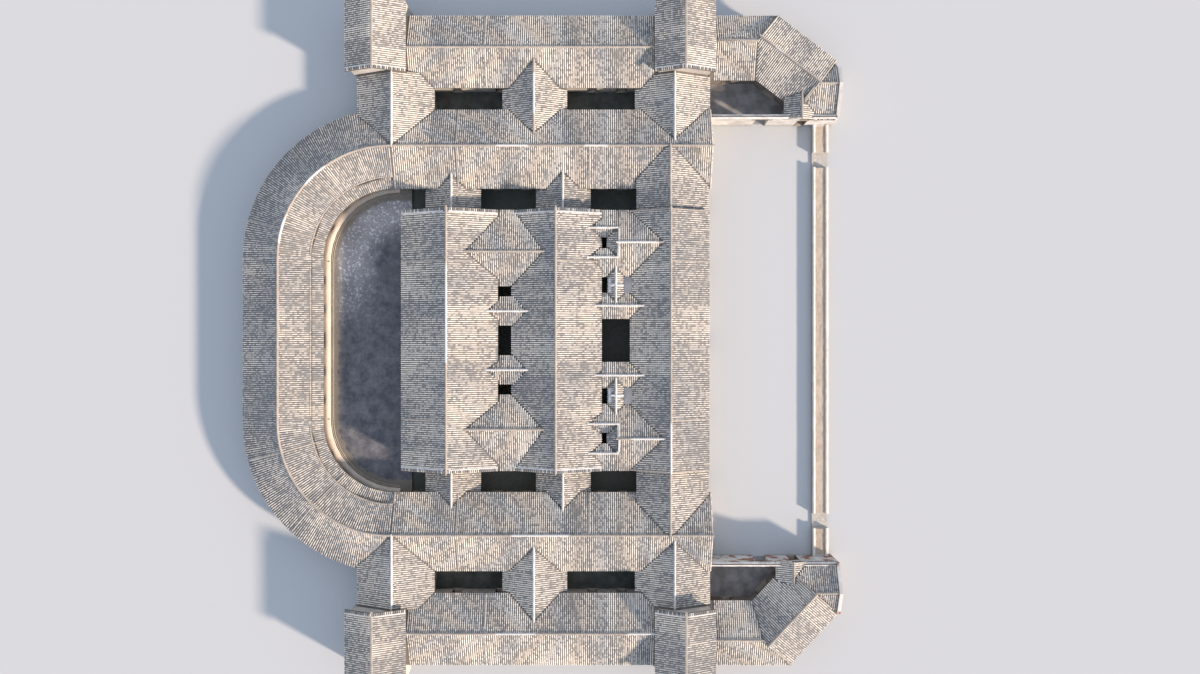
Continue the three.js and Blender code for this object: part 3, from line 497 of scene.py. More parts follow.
# %% Facets of a roof node
SKY_HEIGHT = 2.0
TILE_PITCH = 0.25 * SCALE
DOWN = Vector((0.0, 0.0, -1.0))
LEAST_UPWARD = 0.5
LEAST_AREA = 1e-8


def read_triangles(obj):
    mesh = obj.data
    mesh.calc_loop_triangles()
    points = np.empty(len(mesh.vertices) * 3)
    mesh.vertices.foreach_get("co", points)
    corners = np.empty(len(mesh.loop_triangles) * 3, dtype=np.int64)
    mesh.loop_triangles.foreach_get("vertices", corners)
    return points.reshape(-1, 3)[corners].reshape(-1, 3, 3)


def triangle_normals(triangles):
    cross = np.cross(triangles[:, 1] - triangles[:, 0], triangles[:, 2] - triangles[:, 0])
    length = np.linalg.norm(cross, axis=1, keepdims=True)
    return cross / np.maximum(length, 1e-12), length[:, 0] / 2


def roof_facets(obj):
    """Groups a node's upward triangles by the plane they lie in."""
    triangles = read_triangles(obj)
    normals, areas = triangle_normals(triangles)
    facets = {}
    for triangle, normal, area in zip(triangles, normals, areas):
        if normal[2] < LEAST_UPWARD or area < LEAST_AREA:
            continue
        offset = float(normal @ triangle[0])
        key = (*(round(float(value), 2) for value in normal), round(offset, 2))
        facets.setdefault(key, []).append(triangle)
    return [np.array(group) for group in facets.values()]


def top_tree(names):
    triangles = np.concatenate([read_triangles(NODES[name]) for name in names])
    vertices = [Vector(point) for point in triangles.reshape(-1, 3)]
    faces = [(3 * index, 3 * index + 1, 3 * index + 2) for index in range(len(triangles))]
    return BVHTree.FromPolygons(vertices, faces, all_triangles=True)


ALL_TOPS = top_tree(sorted(NODES))


def look_down(point, tops=ALL_TOPS):
    """What a ray from the sky meets at a plan point: the place and the normal there."""
    hit, normal, _, _ = tops.ray_cast(Vector((point[0], point[1], SKY_HEIGHT)), DOWN)
    return hit, normal


FACETS = {name: roof_facets(NODES[name]) for name in ROOF_NAMES}
print("facets:", sum(len(group) for group in FACETS.values()))

# %% Tile columns
TILE_LENGTH = 0.34 * SCALE
TILE_EXPOSED = 0.27 * SCALE
SAMPLE_STEP = 0.12 * SCALE
COVER_CLEARANCE = 0.02 * SCALE
VALLEY_CLEARANCE = 0.10 * SCALE
VALLEY_RISE = (0.012 * SCALE, 0.3 * SCALE)
SHORTEST_COLUMN = TILE_LENGTH * 1.2
# The tower ridges are the top of the CAD box, so what dresses them lies flat against them
CREST_HEIGHT = 7.2 * SCALE
CREST_HALF_WIDTH = 0.18
# Stretches of a column join over this gap, and a direction counts as along X above this share of it
SPAN_GAP = 1e-4
ALONG_X = 0.9


def column_spans(triangles, across, downhill, place):
    """Where a vertical cut at one place across the slope meets the facet, as merged stretches downhill."""
    spans = []
    for triangle in triangles:
        side = triangle @ across - place
        if side.min() >= 0 or side.max() <= 0:
            continue
        hits = []
        for a, b in ((0, 1), (1, 2), (2, 0)):
            if (side[a] > 0) != (side[b] > 0):
                share = side[a] / (side[a] - side[b])
                hits.append(float((triangle[a] + share * (triangle[b] - triangle[a])) @ downhill))
        if len(hits) == 2:
            spans.append([min(hits), max(hits)])
    spans.sort()
    merged = []
    for span in spans:
        if merged and span[0] <= merged[-1][1] + SPAN_GAP:
            merged[-1][1] = max(merged[-1][1], span[1])
        else:
            merged.append(span)
    return merged


def rises_beside(point, normal, ways):
    """Whether another roof stands above this slope's plane just beside a point, as it does along a valley."""
    for way in ways:
        hit, _ = look_down(point + way)
        plane = point.z - (normal.x * way.x + normal.y * way.y) / normal.z
        if hit is not None and plane + VALLEY_RISE[0] < hit.z < plane + VALLEY_RISE[1]:
            return True
    return False


def open_stretches(start, end):
    """The parts of a sloping line that see the sky and stand clear of valleys, from a tile below the top."""
    length = (end - start).length
    if length < TILE_LENGTH:
        return []
    downhill = (end - start).normalized()
    level = Vector((-downhill.y, downhill.x, 0.0)).normalized()
    normal = downhill.cross(level)
    normal = normal if normal.z > 0 else -normal
    flat = Vector((downhill.x, downhill.y, 0.0)).normalized()
    ways = [(flat + level) * VALLEY_CLEARANCE, (flat - level) * VALLEY_CLEARANCE]
    count = max(2, int(length / SAMPLE_STEP))
    stretches = []
    first = None
    for index in range(count + 1):
        point = start.lerp(end, index / count)
        hit, _ = look_down(point)
        clear = hit is None or hit.z < point.z + COVER_CLEARANCE
        clear = clear and not rises_beside(point, normal, ways)
        if clear and first is None:
            first = point
        if first is not None and (not clear or index == count):
            if first.z > CREST_HEIGHT:
                first = first + downhill * CREST_HALF_WIDTH * SCALE
            if (point - first).length > SHORTEST_COLUMN:
                stretches.append((first + downhill * TILE_EXPOSED, point))
            first = None
    return stretches


def facet_columns(triangles, edge=0.0):
    """The columns of one facet, none nearer than the given distance to its two sides."""
    normals, _ = triangle_normals(triangles)
    normal = normals.mean(axis=0)
    normal /= np.linalg.norm(normal)
    across = np.cross((0.0, 0.0, 1.0), normal)
    across /= np.linalg.norm(across)
    downhill = np.cross(across, normal)
    if downhill[2] > 0:
        downhill = -downhill
    offset = float(normal @ triangles[0][0])
    reach = triangles.reshape(-1, 3) @ across
    if abs(across[0]) < ALONG_X or np.ptp(reach) < GABLED_WIDTH:
        edge = 0.0
    columns = []
    first = math.ceil(reach.min() / TILE_PITCH)
    for index in range(first, math.floor(reach.max() / TILE_PITCH) + 1):
        place = index * TILE_PITCH
        if min(place - reach.min(), reach.max() - place) < edge:
            continue
        for near, far in column_spans(triangles, across, downhill, place):
            start = Vector(normal * offset + across * place + downhill * near)
            end = Vector(normal * offset + across * place + downhill * far)
            columns += open_stretches(start, end)
    return columns


def arc_columns(name, side):
    """Columns of a horseshoe arc, which run along its radii."""
    own = top_tree([name])
    centre = Vector((side * ARC_CENTRE[0], ARC_CENTRE[1], 0.0))
    columns = []
    for inner, outer, middle in ARC_ZONES:
        count = round(middle * math.pi / 2 / TILE_PITCH)
        for index in range(count):
            angle = (index + 0.5) / count * math.pi / 2
            ray = Vector((side * math.cos(angle), math.sin(angle), 0.0))
            ends = []
            for radius in (inner, outer):
                hit, _ = look_down(centre + ray * radius, own)
                if hit is not None:
                    ends.append(hit)
            if len(ends) == 2:
                ends.sort(key=lambda point: -point.z)
                columns += open_stretches(*ends)
    return columns


# The roofs whose gables end in a strip of short tiles laid across the slope, on facets at least this wide
GABLED_ROOFS = {f"{place}_tower_{side}_roof" for place in ("rear", "front") for side in ("left", "right")}
GABLED_ROOFS |= {"rear_hall_roof", "middle_hall_roof"}
GABLED_WIDTH = 9.0 * SCALE
GABLE_STRIP = 0.42 * SCALE

COLUMNS = {}
for name in ROOF_NAMES:
    if name in ("horseshoe_left_roof", "horseshoe_right_roof"):
        COLUMNS[name] = arc_columns(name, 1 if "right" in name else -1)
    else:
        edge = GABLE_STRIP if name in GABLED_ROOFS else 0.0
        COLUMNS[name] = [column for facet in FACETS[name] for column in facet_columns(facet, edge)]
total = sum((end - start).length for columns in COLUMNS.values() for start, end in columns)
count = sum(len(columns) for columns in COLUMNS.values())
print(f"{count} columns, together {total / SCALE:.0f} m long in real size")

# %% [markdown]
# ## Laying the cover tiles
#
# One tile is a short half-round shell, wider at its lower end, where it laps over the next. A Geometry
# Nodes tree turns each column into points a tile's exposed length apart, sets a tile on each with its axis
# downhill and its crown along the slope's normal, turns it a hair and stores its own tone.

# %% One cover tile
def make_tile(name, half_width, rise, upper, lower):
    """A half-round tile in real metres. Each end has a place along it, a share of the size, and a lift."""
    steps = 4
    vertices = []
    for x, grow, lift in (upper, lower):
        for index in range(steps + 1):
            angle = math.pi * index / steps
            across = math.cos(angle) * half_width * grow
            height = math.sin(angle) * rise * grow + lift
            vertices.append((x * SCALE, across * SCALE, height * SCALE))
    faces = [(index, index + 1, steps + 2 + index, steps + 1 + index) for index in range(steps)]
    faces.append(tuple(range(steps + 1, 2 * steps + 2)))
    mesh = bpy.data.meshes.new(name)
    mesh.from_pydata(vertices, [], faces)
    return bpy.data.objects.new(name + "_form", mesh)


TILE_HALF_WIDTH = 0.078
TILE_RISE = 0.062
TILE_FORM = make_tile(
    "cover_tile", TILE_HALF_WIDTH, TILE_RISE, (-TILE_LENGTH / SCALE, 0.86, -0.010), (0.0, 1.0, 0.012),
)
print("tile faces:", len(TILE_FORM.data.polygons))

# %% The tree that lays them
UP = (0.0, 0.0, 1.0)


def add_vector(tree, operation, inputs):
    return add_node(tree, "ShaderNodeVectorMath", inputs, operation=operation).outputs[0]


def close_tree(tree, geometry, given, out):
    """Every tree ends in plain geometry with its material."""
    realize = add_node(tree, "GeometryNodeRealizeInstances", {"Geometry": geometry})
    inputs = {"Geometry": realize.outputs[0], "Material": given["Material"]}
    connect(tree, out[0], add_node(tree, "GeometryNodeSetMaterial", inputs).outputs[0])
    return tree


def make_laying_tree():
    tree, given, out = new_group(
        "lay_tiles", "GeometryNodeTree",
        {
            "Columns": "Geometry", "Tile": "Object", "Exposed Length": "Float", "Turn": "Float",
            "Seed": "Int", "Material": "Material",
        },
        {"Tiles": "Geometry"},
    )
    curve = add_node(tree, "GeometryNodeMeshToCurve", {"Mesh": given["Columns"]})
    spacing = {"Curve": curve.outputs[0], "Length": given["Exposed Length"]}
    points = add_node(tree, "GeometryNodeCurveToPoints", spacing, mode="LENGTH")

    tangent = points.outputs["Tangent"]
    rise = Value(tree, add_node(tree, "ShaderNodeSeparateXYZ", {0: tangent}).outputs["Z"])
    turned = (rise > 0.0001).apply("MULTIPLY_ADD", -2.0, 1.0)
    downhill = add_vector(tree, "SCALE", {0: tangent, "Scale": turned})
    level = add_vector(tree, "CROSS_PRODUCT", {0: UP, 1: downhill})
    crown = add_vector(tree, "CROSS_PRODUCT", {0: downhill, 1: level})
    axes = add_node(
        tree, "FunctionNodeAxesToRotation", {0: crown, 1: downhill}, primary_axis="Z", secondary_axis="X",
    )
    span = {2: Value(tree, given["Turn"]) * -1.0, 3: given["Turn"], "Seed": given["Seed"]}
    turn = add_node(tree, "FunctionNodeRandomValue", span, data_type="FLOAT")
    spin = add_node(tree, "FunctionNodeAxisAngleToRotation", {"Axis": UP, "Angle": turn.outputs[1]})
    rotations = {0: axes.outputs[0], 1: spin.outputs[0]}
    rotate = add_node(tree, "FunctionNodeRotateRotation", rotations, rotation_space="LOCAL")

    tile = add_node(tree, "GeometryNodeObjectInfo", {"Object": given["Tile"]})
    lay = add_node(tree, "GeometryNodeInstanceOnPoints", {
        "Points": points.outputs["Points"],
        "Instance": tile.outputs["Geometry"],
        "Rotation": rotate.outputs[0],
    })
    tone = add_node(tree, "FunctionNodeRandomValue", {"Seed": given["Seed"]}, data_type="FLOAT")
    stored = {"Name": "tile_tone", "Geometry": lay.outputs[0], "Value": tone.outputs[1]}
    store = add_node(tree, "GeometryNodeStoreNamedAttribute", stored, data_type="FLOAT", domain="INSTANCE")
    return close_tree(tree, store.outputs[0], given, out)


LAYING = make_laying_tree()
print("laying tree nodes:", len(LAYING.nodes))

# %% Bake helper and the tile pieces
def bake_tree(name, mesh, tree, values):
    """Runs a Geometry Nodes tree on a mesh and returns the result as a plain mesh object."""
    source = bpy.data.objects.new(name + "_source", mesh)
    bpy.context.scene.collection.objects.link(source)
    modifier = source.modifiers.new("build", "NODES")
    modifier.node_group = tree
    for item in tree.interface.items_tree:
        if item.in_out == "INPUT" and item.name in values:
            modifier[item.identifier] = values[item.name]
    graph = bpy.context.evaluated_depsgraph_get()
    result = bpy.data.meshes.new_from_object(source.evaluated_get(graph))
    result.name = name
    bpy.data.objects.remove(source)
    bpy.data.meshes.remove(mesh)
    made = bpy.data.objects.new(name, result)
    bpy.context.scene.collection.objects.link(made)
    return made


# How much darker or paler a roof's tiles are than the house's mean, on its rear slope and on its front
# slope, by the start of its node's name
ROOF_AGES = {
    "horseshoe": (-0.34, -0.38),
    "front_hall_roof": (0.10, -0.44),
    "rear_hall": (0.16, 0.08),
    "rear_tower": (-0.12, -0.12),
    "front_tower": (-0.12, -0.12),
}
# A bay's width in real metres, a tile's mean tone, and how far bays and slow drift move it
BAY_WIDTH = 2.3
MEAN_TONE = 0.66
BAY_SPREAD = 0.44
DRIFT_SPREAD = 0.72
DRIFT_FREQUENCY = 0.22
# The most that a tile is turned about the slope's normal, in radians
TILE_TURN = 0.035


def roof_ages(name):
    return next((ages for start, ages in ROOF_AGES.items() if name.startswith(start)), (0.0, 0.0))


def bay_tone(point, downhill, ages=(0.0, 0.0)):
    """The tone of the batch of tiles at a place: roofs are relaid in bays, each a few columns wide."""
    across = Vector((-downhill.y, downhill.x, 0.0))
    place = point.dot(across) / SCALE
    waver = 0.8 * noise.noise(Vector((place * 0.4, 0.5, 0.5)))
    bay = noise.cell(Vector((place / BAY_WIDTH + waver, 3.7, point.z * 0.1)))
    drift = noise.noise(point / SCALE * DRIFT_FREQUENCY)
    age = ages[1] if downhill.y < 0 else ages[0]
    return min(1.0, max(0.0, MEAN_TONE + age + BAY_SPREAD * (bay - 0.5) + DRIFT_SPREAD * drift))


def edge_mesh(name, segments, ages=(0.0, 0.0)):
    mesh = bpy.data.meshes.new(name)
    points = [point for segment in segments for point in segment]
    mesh.from_pydata(points, [(2 * index, 2 * index + 1) for index in range(len(segments))], [])
    tones = mesh.attributes.new("bay_tone", "FLOAT", "POINT")
    for index, (start, end) in enumerate(segments):
        downhill = Vector((end.x - start.x, end.y - start.y, 0.0)).normalized()
        for corner, point in ((0, start), (1, end)):
            tones.data[2 * index + corner].value = bay_tone(point, downhill, ages)
    return mesh


def count_triangles(obj):
    return sum(len(polygon.vertices) - 2 for polygon in obj.data.polygons)


def finish_piece(obj):
    """Trims the last millimetre to the CAD box, and says what the piece rides on."""
    for vertex in obj.data.vertices:
        vertex.co = [min(max(value, low), high) for value, low, high in zip(vertex.co, *CAD_BOX)]
    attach(obj, "root")
    print(obj.name, count_triangles(obj), "triangles")
    return obj


for seed, name in enumerate(ROOF_NAMES):
    columns = edge_mesh(name + "_columns", COLUMNS[name], roof_ages(name))
    values = {"Tile": TILE_FORM, "Exposed Length": TILE_EXPOSED, "Turn": TILE_TURN, "Seed": seed}
    values["Material"] = COVER_TILE
    finish_piece(bake_tree(name.replace("_roof", "_tiles"), columns, LAYING, values))
tile_pieces = [obj for obj in bpy.data.objects if obj.name.endswith("_tiles")]
print("tile triangles:", sum(count_triangles(obj) for obj in tile_pieces), "most in one piece:",
      max(count_triangles(obj) for obj in tile_pieces))

# %% [markdown]
# ## Finding ridges, valleys, eaves and verges
#
# A roof's lines are where its facets end. Each facet edge is walked in small steps, and two rays from the
# sky, one just inside the facet and one just past the edge, tell what lies there: nothing or a drop makes
# an eave or a verge, a slope that falls away makes a ridge, and one that rises makes a valley.

# %% Roof lines
INSIDE = 0.05 * SCALE
OUTSIDE = 0.07 * SCALE
STEP_HEIGHT = 0.09 * SCALE
LINE_STEP = 0.15 * SCALE
LEAST_STEPS = 2
SHORTEST_EDGE = 0.1 * SCALE
SLAB_FIT = 0.03 * SCALE
# A slope counts as level above this normal, and as square to an edge above this share of it
LEVEL_NORMAL = 0.995
SQUARE = 0.8
LIKE_SLOPE = math.radians(8.0)


def facet_edges(triangles):
    """Edges that only one triangle of the facet uses, each with the plan direction to the facet's inside."""
    seen = {}
    for triangle in triangles:
        for a, b, c in ((0, 1, 2), (1, 2, 0), (2, 0, 1)):
            ends = [tuple(round(float(value), 5) for value in triangle[corner]) for corner in (a, b)]
            key = tuple(sorted(ends))
            seen.setdefault(key, []).append(triangle[c])
    edges = []
    for (start, end), thirds in seen.items():
        if len(thirds) != 1:
            continue
        start, end, third = Vector(start), Vector(end), Vector(thirds[0])
        along = (end - start).to_2d()
        if along.length < SHORTEST_EDGE:
            continue
        inward = Vector((-along.y, along.x, 0.0)).normalized()
        if inward.dot(third - start) < 0:
            inward = -inward
        edges.append((start, end, inward))
    return edges


def plan_downhill(normal):
    flat = Vector((normal.x, normal.y, 0.0))
    return flat.normalized() if flat.length > 1e-4 else Vector((0.0, 0.0, 0.0))


def rank(downhill):
    """Orders two slopes that share an edge, so that only one of them reports it."""
    return downhill.x + 0.37 * downhill.y


def edge_kind(point, inward, normal):
    """What a facet's edge is at one point, or nothing where it is hidden or only shared with a like facet."""
    within, _ = look_down(point + inward * INSIDE)
    plane = point.z - inward.dot(Vector((normal.x, normal.y, 0.0))) / normal.z * INSIDE
    if within is None or abs(within.z - plane) > SLAB_FIT:
        return None
    downhill = plan_downhill(normal)
    slope = inward.dot(downhill)
    beyond, other = look_down(point - inward * OUTSIDE)
    if beyond is None or beyond.z < point.z - STEP_HEIGHT:
        if slope < -SQUARE:
            return "eave"
        return "ridge" if slope > SQUARE else "verge"
    if beyond.z > point.z + STEP_HEIGHT:
        return "abutment"
    if rank(plan_downhill(other)) > rank(downhill) or other.angle(normal) < LIKE_SLOPE:
        return None
    return "ridge" if (other - normal).dot(-inward) > 0 else "valley"


def roof_lines():
    lines = {"eave": [], "verge": [], "ridge": [], "valley": [], "abutment": []}
    for name in ROOF_NAMES:
        for facet in FACETS[name]:
            normal = Vector(triangle_normals(facet)[0].mean(axis=0)).normalized()
            if normal.z > LEVEL_NORMAL:
                continue
            for start, end, inward in facet_edges(facet):
                count = max(1, round((end - start).length / LINE_STEP))
                middles = [start.lerp(end, (index + 0.5) / count) for index in range(count)]
                kinds = [edge_kind(middle, inward, normal) for middle in middles]
                first = 0
                for index in range(1, count + 1):
                    if index == count or kinds[index] != kinds[first]:
                        if kinds[first] and index - first >= LEAST_STEPS:
                            ends = [start.lerp(end, place / count) for place in (first, index)]
                            lines[kinds[first]].append((*ends, inward, name))
                        first = index
    return lines


LINES = roof_lines()
for kind, found in LINES.items():
    print(kind, len(found), f"{sum((line[1] - line[0]).length for line in found) / SCALE:.0f} m in real size")

# %% [markdown]
# ## Mortar beds, ridge tiles and valley gutters
#
# Ridges and verges are bedded in lime mortar, and a row of larger tiles runs along each ridge. Valleys are
# lined with a channel of dark tiles, painted dark for the shade in the crease. A Geometry Nodes tree
# sweeps a section along each line, and the laying tree sets the tiles.

# %% The tree that sweeps a section along lines
def make_sweep_tree():
    tree, given, out = new_group(
        "sweep_section", "GeometryNodeTree",
        {
            "Lines": "Geometry", "Section": "Object", "Step": "Float", "Waver": "Float",
            "Seed": "Int", "Material": "Material",
        },
        {"Swept": "Geometry"},
    )
    line = add_node(tree, "GeometryNodeMeshToCurve", {"Mesh": given["Lines"]})
    spacing = {"Curve": line.outputs[0], "Length": given["Step"]}
    steps = add_node(tree, "GeometryNodeResampleCurve", spacing, mode="LENGTH")
    upright = add_node(tree, "GeometryNodeSetCurveNormal", {"Curve": steps.outputs[0]}, mode="Z_UP")
    section = add_node(tree, "GeometryNodeObjectInfo", {"Object": given["Section"]})
    profile = add_node(tree, "GeometryNodeMeshToCurve", {"Mesh": section.outputs["Geometry"]})
    sweep = add_node(tree, "GeometryNodeCurveToMesh", {
        "Fill Caps": True, "Curve": upright.outputs[0], "Profile Curve": profile.outputs[0],
    })
    waver = add_node(tree, "FunctionNodeRandomValue", {"Seed": given["Seed"]}, data_type="FLOAT_VECTOR")
    centred = add_vector(tree, "SUBTRACT", {0: waver.outputs[0], 1: (0.5, 0.5, 0.5)})
    sized = add_vector(tree, "SCALE", {0: centred, "Scale": given["Waver"]})
    move = add_node(tree, "GeometryNodeSetPosition", {"Geometry": sweep.outputs[0], "Offset": sized})
    return close_tree(tree, move.outputs[0], given, out)


SWEEPING = make_sweep_tree()

# The left half of each section in real metres: across, then height above the line
SECTIONS = {
    "ridge_bed": [(-0.14, -0.06), (-0.12, 0.07), (-0.05, 0.11)],
    "crest_bed": [(-0.17, -0.12), (-0.15, -0.035)],
    "verge_bed": [(-0.09, -0.12), (-0.08, 0.07)],
    "gable_bed": [(-0.10, -0.06), (-0.09, 0.06)],
    "rib_bed": [(-0.085, -0.05), (-0.07, 0.09)],
    "step_bead": [(-0.06, -0.10), (-0.05, 0.075)],
    "valley_bed": [(-0.13, -0.04), (-0.12, 0.03), (0.0, 0.01)],
    "walk_slab": [(-0.46, -0.01), (-0.46, 0.05)],
    "kerb": [(-0.05, -0.01), (-0.045, 0.05)],
    "eave_board": [(-0.02, -0.20), (-0.02, -0.06)],
    "rafter": [(-0.035, -0.045), (-0.035, 0.045)],
    "well_ledge": [(-0.20, -0.05), (-0.20, 0.12)],
    "coping": [(-0.26, -0.04), (-0.26, 0.03), (-0.10, 0.10)],
    "wall_cap": [(-0.165, -0.02), (-0.165, 0.05)],
    "wide_wall_cap": [(-0.20, -0.02), (-0.19, 0.055)],
    "lintel_beam": [(-0.24, 0.0), (-0.24, 0.18)],
    "lintel_wall": [(-0.195, 0.17), (-0.195, 0.84)],
}


def make_section(name, half):
    """A closed section whose right half mirrors the left."""
    points = half + [(-across, height) for across, height in reversed(half) if across]
    mesh = bpy.data.meshes.new(name)
    corners = [(across * SCALE, -height * SCALE, 0.0) for across, height in points]
    mesh.from_pydata(corners, [(index, (index + 1) % len(corners)) for index in range(len(corners))], [])
    return bpy.data.objects.new(name, mesh)


PROFILES = {name: make_section(name, half) for name, half in SECTIONS.items()}


def welded_lines(name, segments, lift=0.0):
    """A mesh of the line segments with shared ends joined, so that a bent line sweeps in one piece."""
    places = {}
    points = []
    edges = []
    for start, end in segments:
        pair = []
        for point in (start, end):
            key = tuple(round(value, 3) for value in point)
            if key not in places:
                places[key] = len(points)
                points.append((point[0], point[1], point[2] + lift))
            pair.append(places[key])
        if pair[0] != pair[1]:
            edges.append(pair)
    mesh = bpy.data.meshes.new(name)
    mesh.from_pydata(points, edges, [])
    return mesh


def face_outwards(obj):
    mesh = bmesh.new()
    mesh.from_mesh(obj.data)
    bmesh.ops.recalc_face_normals(mesh, faces=mesh.faces)
    mesh.to_mesh(obj.data)
    mesh.free()


def sweep_piece(name, segments, section, material, step, waver=0.0, lift=0.0, seed=3):
    """Sweeps a section along line segments, with a cut at each step and every corner moved by the waver."""
    values = {"Section": PROFILES[section], "Step": step * SCALE, "Waver": waver * SCALE, "Seed": seed}
    values["Material"] = material
    piece = bake_tree(name, welded_lines(name + "_lines", segments, lift), SWEEPING, values)
    face_outwards(piece)
    return finish_piece(piece)


def moved_in(lines, inset=0.0):
    """The ends of roof lines, moved a real distance in over their own facet."""
    return [(start + inward * inset * SCALE, end + inward * inset * SCALE) for start, end, inward, _ in lines]


print("sections:", len(PROFILES))

# %% Mortar on ridges and verges, and the valley channels
HALL_RIDGE = 6.4 * SCALE
WHITEWASHED = ("rear_wing", "front_wing", "rear_link", "middle_link", "middle_hall", "outer_link_left")
# How far the mortar lies in over the roof at a verge, and at a gable behind its strip of short tiles
VERGE_INSET = 0.12
GABLE_INSET = GABLE_STRIP / SCALE


def is_whitewashed(line):
    """The wings and the small roofs at the skywells have freshly limed ridges; the others are weathered."""
    return line[3].startswith(WHITEWASHED) and line[0].z < HALL_RIDGE


LOW_LINES = [line for line in LINES["ridge"] if line[0].z < CREST_HEIGHT]
LIMED_RIDGES = [line[:2] for line in LOW_LINES if is_whitewashed(line)]
RIDGES = [line[:2] for line in LOW_LINES if not is_whitewashed(line)]
CRESTS = [line[:2] for line in LINES["ridge"] if line[0].z >= CREST_HEIGHT]
sweep_piece("ridge_mortar", RIDGES, "ridge_bed", MATERIALS["ridge_mortar"], 0.8, 0.02)
sweep_piece("limed_ridge_mortar", LIMED_RIDGES, "ridge_bed", WHITEWASH, 0.8, 0.02)
sweep_piece("tower_ridge_mortar", CRESTS, "crest_bed", MORTAR, 0.8)
GABLE_VERGES = [line for line in LINES["verge"] if line[3] in GABLED_ROOFS and abs(line[2].x) > ALONG_X]
VERGES = [line for line in LINES["verge"] if line not in GABLE_VERGES]
PLAIN_VERGES = [line for line in VERGES if not line[3].startswith("front_cross")]
LIMED_VERGES = [line for line in VERGES if line[3].startswith("front_cross")]
plain, limed = moved_in(PLAIN_VERGES, VERGE_INSET), moved_in(LIMED_VERGES, VERGE_INSET)
gabled, valleys = moved_in(GABLE_VERGES, GABLE_INSET), moved_in(LINES["valley"])
sweep_piece("verge_mortar", plain, "verge_bed", MORTAR, 0.9, 0.02)
sweep_piece("limed_verge_mortar", limed, "verge_bed", WHITEWASH, 0.9, 0.02)
sweep_piece("gable_verge_mortar", gabled, "gable_bed", WHITEWASH, 0.9)
# The valley channels take the gutter tile, whose dark tone paints the shade in the crease
sweep_piece("valley_channels", valleys, "valley_bed", GUTTER_TILE, 1.2)

# %% Ridge tiles
RIDGE_TILE = make_tile("ridge_tile", 0.10, 0.08, (-0.18, 0.9, -0.01), (0.18, 1.0, 0.01))
CREST_TILE = make_tile("crest_tile", 0.14, 0.055, (-0.17, 0.9, -0.0015), (0.17, 1.0, 0.0015))


def lay_piece(name, segments, form, material, exposed, turn, seed, lift=0.0):
    values = {"Tile": form, "Exposed Length": exposed * SCALE, "Turn": turn, "Seed": seed}
    values["Material"] = material
    piece = bake_tree(name, welded_lines(name + "_lines", segments, lift), LAYING, values)
    return finish_piece(piece)


lay_piece("ridge_tiles", RIDGES, RIDGE_TILE, MATERIALS["ridge_mortar"], 0.32, 0.03, 11, lift=0.09 * SCALE)
lay_piece("limed_ridge_tiles", LIMED_RIDGES, RIDGE_TILE, WHITEWASH, 0.32, 0.03, 13, lift=0.09 * SCALE)
lay_piece("tower_ridge_tiles", CRESTS, CREST_TILE, MORTAR, 0.32, 0.0, 12, lift=-0.052 * SCALE)

# %% [markdown]
# ## Party-wall ribs
#
# Where a party wall meets the roof, the tiles are bedded in a low line of mortar that runs down the slope.
# The line is walked from one plan point to another, and a ray from the sky finds the roof below each step.

# %% Ribs over the party walls
# Plan lines in real metres, for the right half. The left half mirrors them.
PARTY_LINES = [
    ((9.42, 16.6), (9.42, 7.8)),
    ((9.42, -2.0), (9.42, -6.8)),
    ((9.42, -15.6), (9.42, -20.2)),
    ((13.5, -9.21), (15.5, -9.21)),
    ((18.5, 9.95), (27.8, 9.95)),
    ((18.5, -5.9), (23.0, -5.9)),
    ((30.6, 6.6), (39.1, 6.6)),
]
# Round the horseshoe: degrees from the straight rear, and the radii where a rib begins and ends
PARTY_DEGREES = (0, 15, 47)
PARTY_RADII = (8.7, 18.1)
ROOF_JUMP = 0.35 * SCALE
STEP_RADIUS = 9.93


def line_on_roof(start, end, step=0.4):
    """Points on the roofs below a straight plan line, in model metres, cut where the roof jumps."""
    length = math.dist(start, end)
    count = max(1, round(length / step))
    runs = [[]]
    for index in range(count + 1):
        share = index / count
        x, y = (a + (b - a) * share for a, b in zip(start, end))
        hit, _ = look_down((x * SCALE, y * SCALE))
        if hit is None:
            continue
        if runs[-1] and abs(hit.z - runs[-1][-1].z) > ROOF_JUMP:
            runs.append([])
        runs[-1].append(hit)
    return [(a, b) for run in runs for a, b in zip(run, run[1:])]


def side_line(side, start, end):
    """A plan line of the right half laid on the roofs, or for side -1 its twin on the left."""
    return line_on_roof((side * start[0], start[1]), (side * end[0], end[1]))


def on_arc(side, radius, degrees):
    """A plan point round one end of the horseshoe, in real metres; 0 degrees is the straight rear."""
    angle = math.radians(degrees)
    return (
        side * (ARC_CENTRE[0] / SCALE + radius * math.sin(angle)),
        ARC_CENTRE[1] / SCALE + radius * math.cos(angle),
    )


def horseshoe_segments(radius, steps=24):
    """Plan segments round the whole horseshoe at one radius, in real metres."""
    points = [on_arc(1, radius, 90 - 90 * index / steps) for index in range(steps + 1)]
    points += [(-x, y) for x, y in reversed(points)]
    return list(zip(points, points[1:]))


def party_lines():
    """The lines of one half, then those of the other, so that each rib keeps its waver."""
    lines = []
    for side in (-1, 1):
        for start, end in PARTY_LINES:
            lines += side_line(side, start, end)
        for degrees in PARTY_DEGREES:
            near, far = (on_arc(side, radius, degrees) for radius in PARTY_RADII)
            lines += line_on_roof(near, far)
    return lines


sweep_piece("party_wall_ribs", party_lines(), "rib_bed", MORTAR, 0.9, 0.03, seed=5)

# The upper slope of the horseshoe ends in a thin bead of mortar over the stepped strip at the inner eave
beads = [line for start, end in horseshoe_segments(STEP_RADIUS) for line in line_on_roof(start, end, 0.8)]
sweep_piece("horseshoe_step_bead", beads, "step_bead", MORTAR, 0.8, 0.02, seed=6)

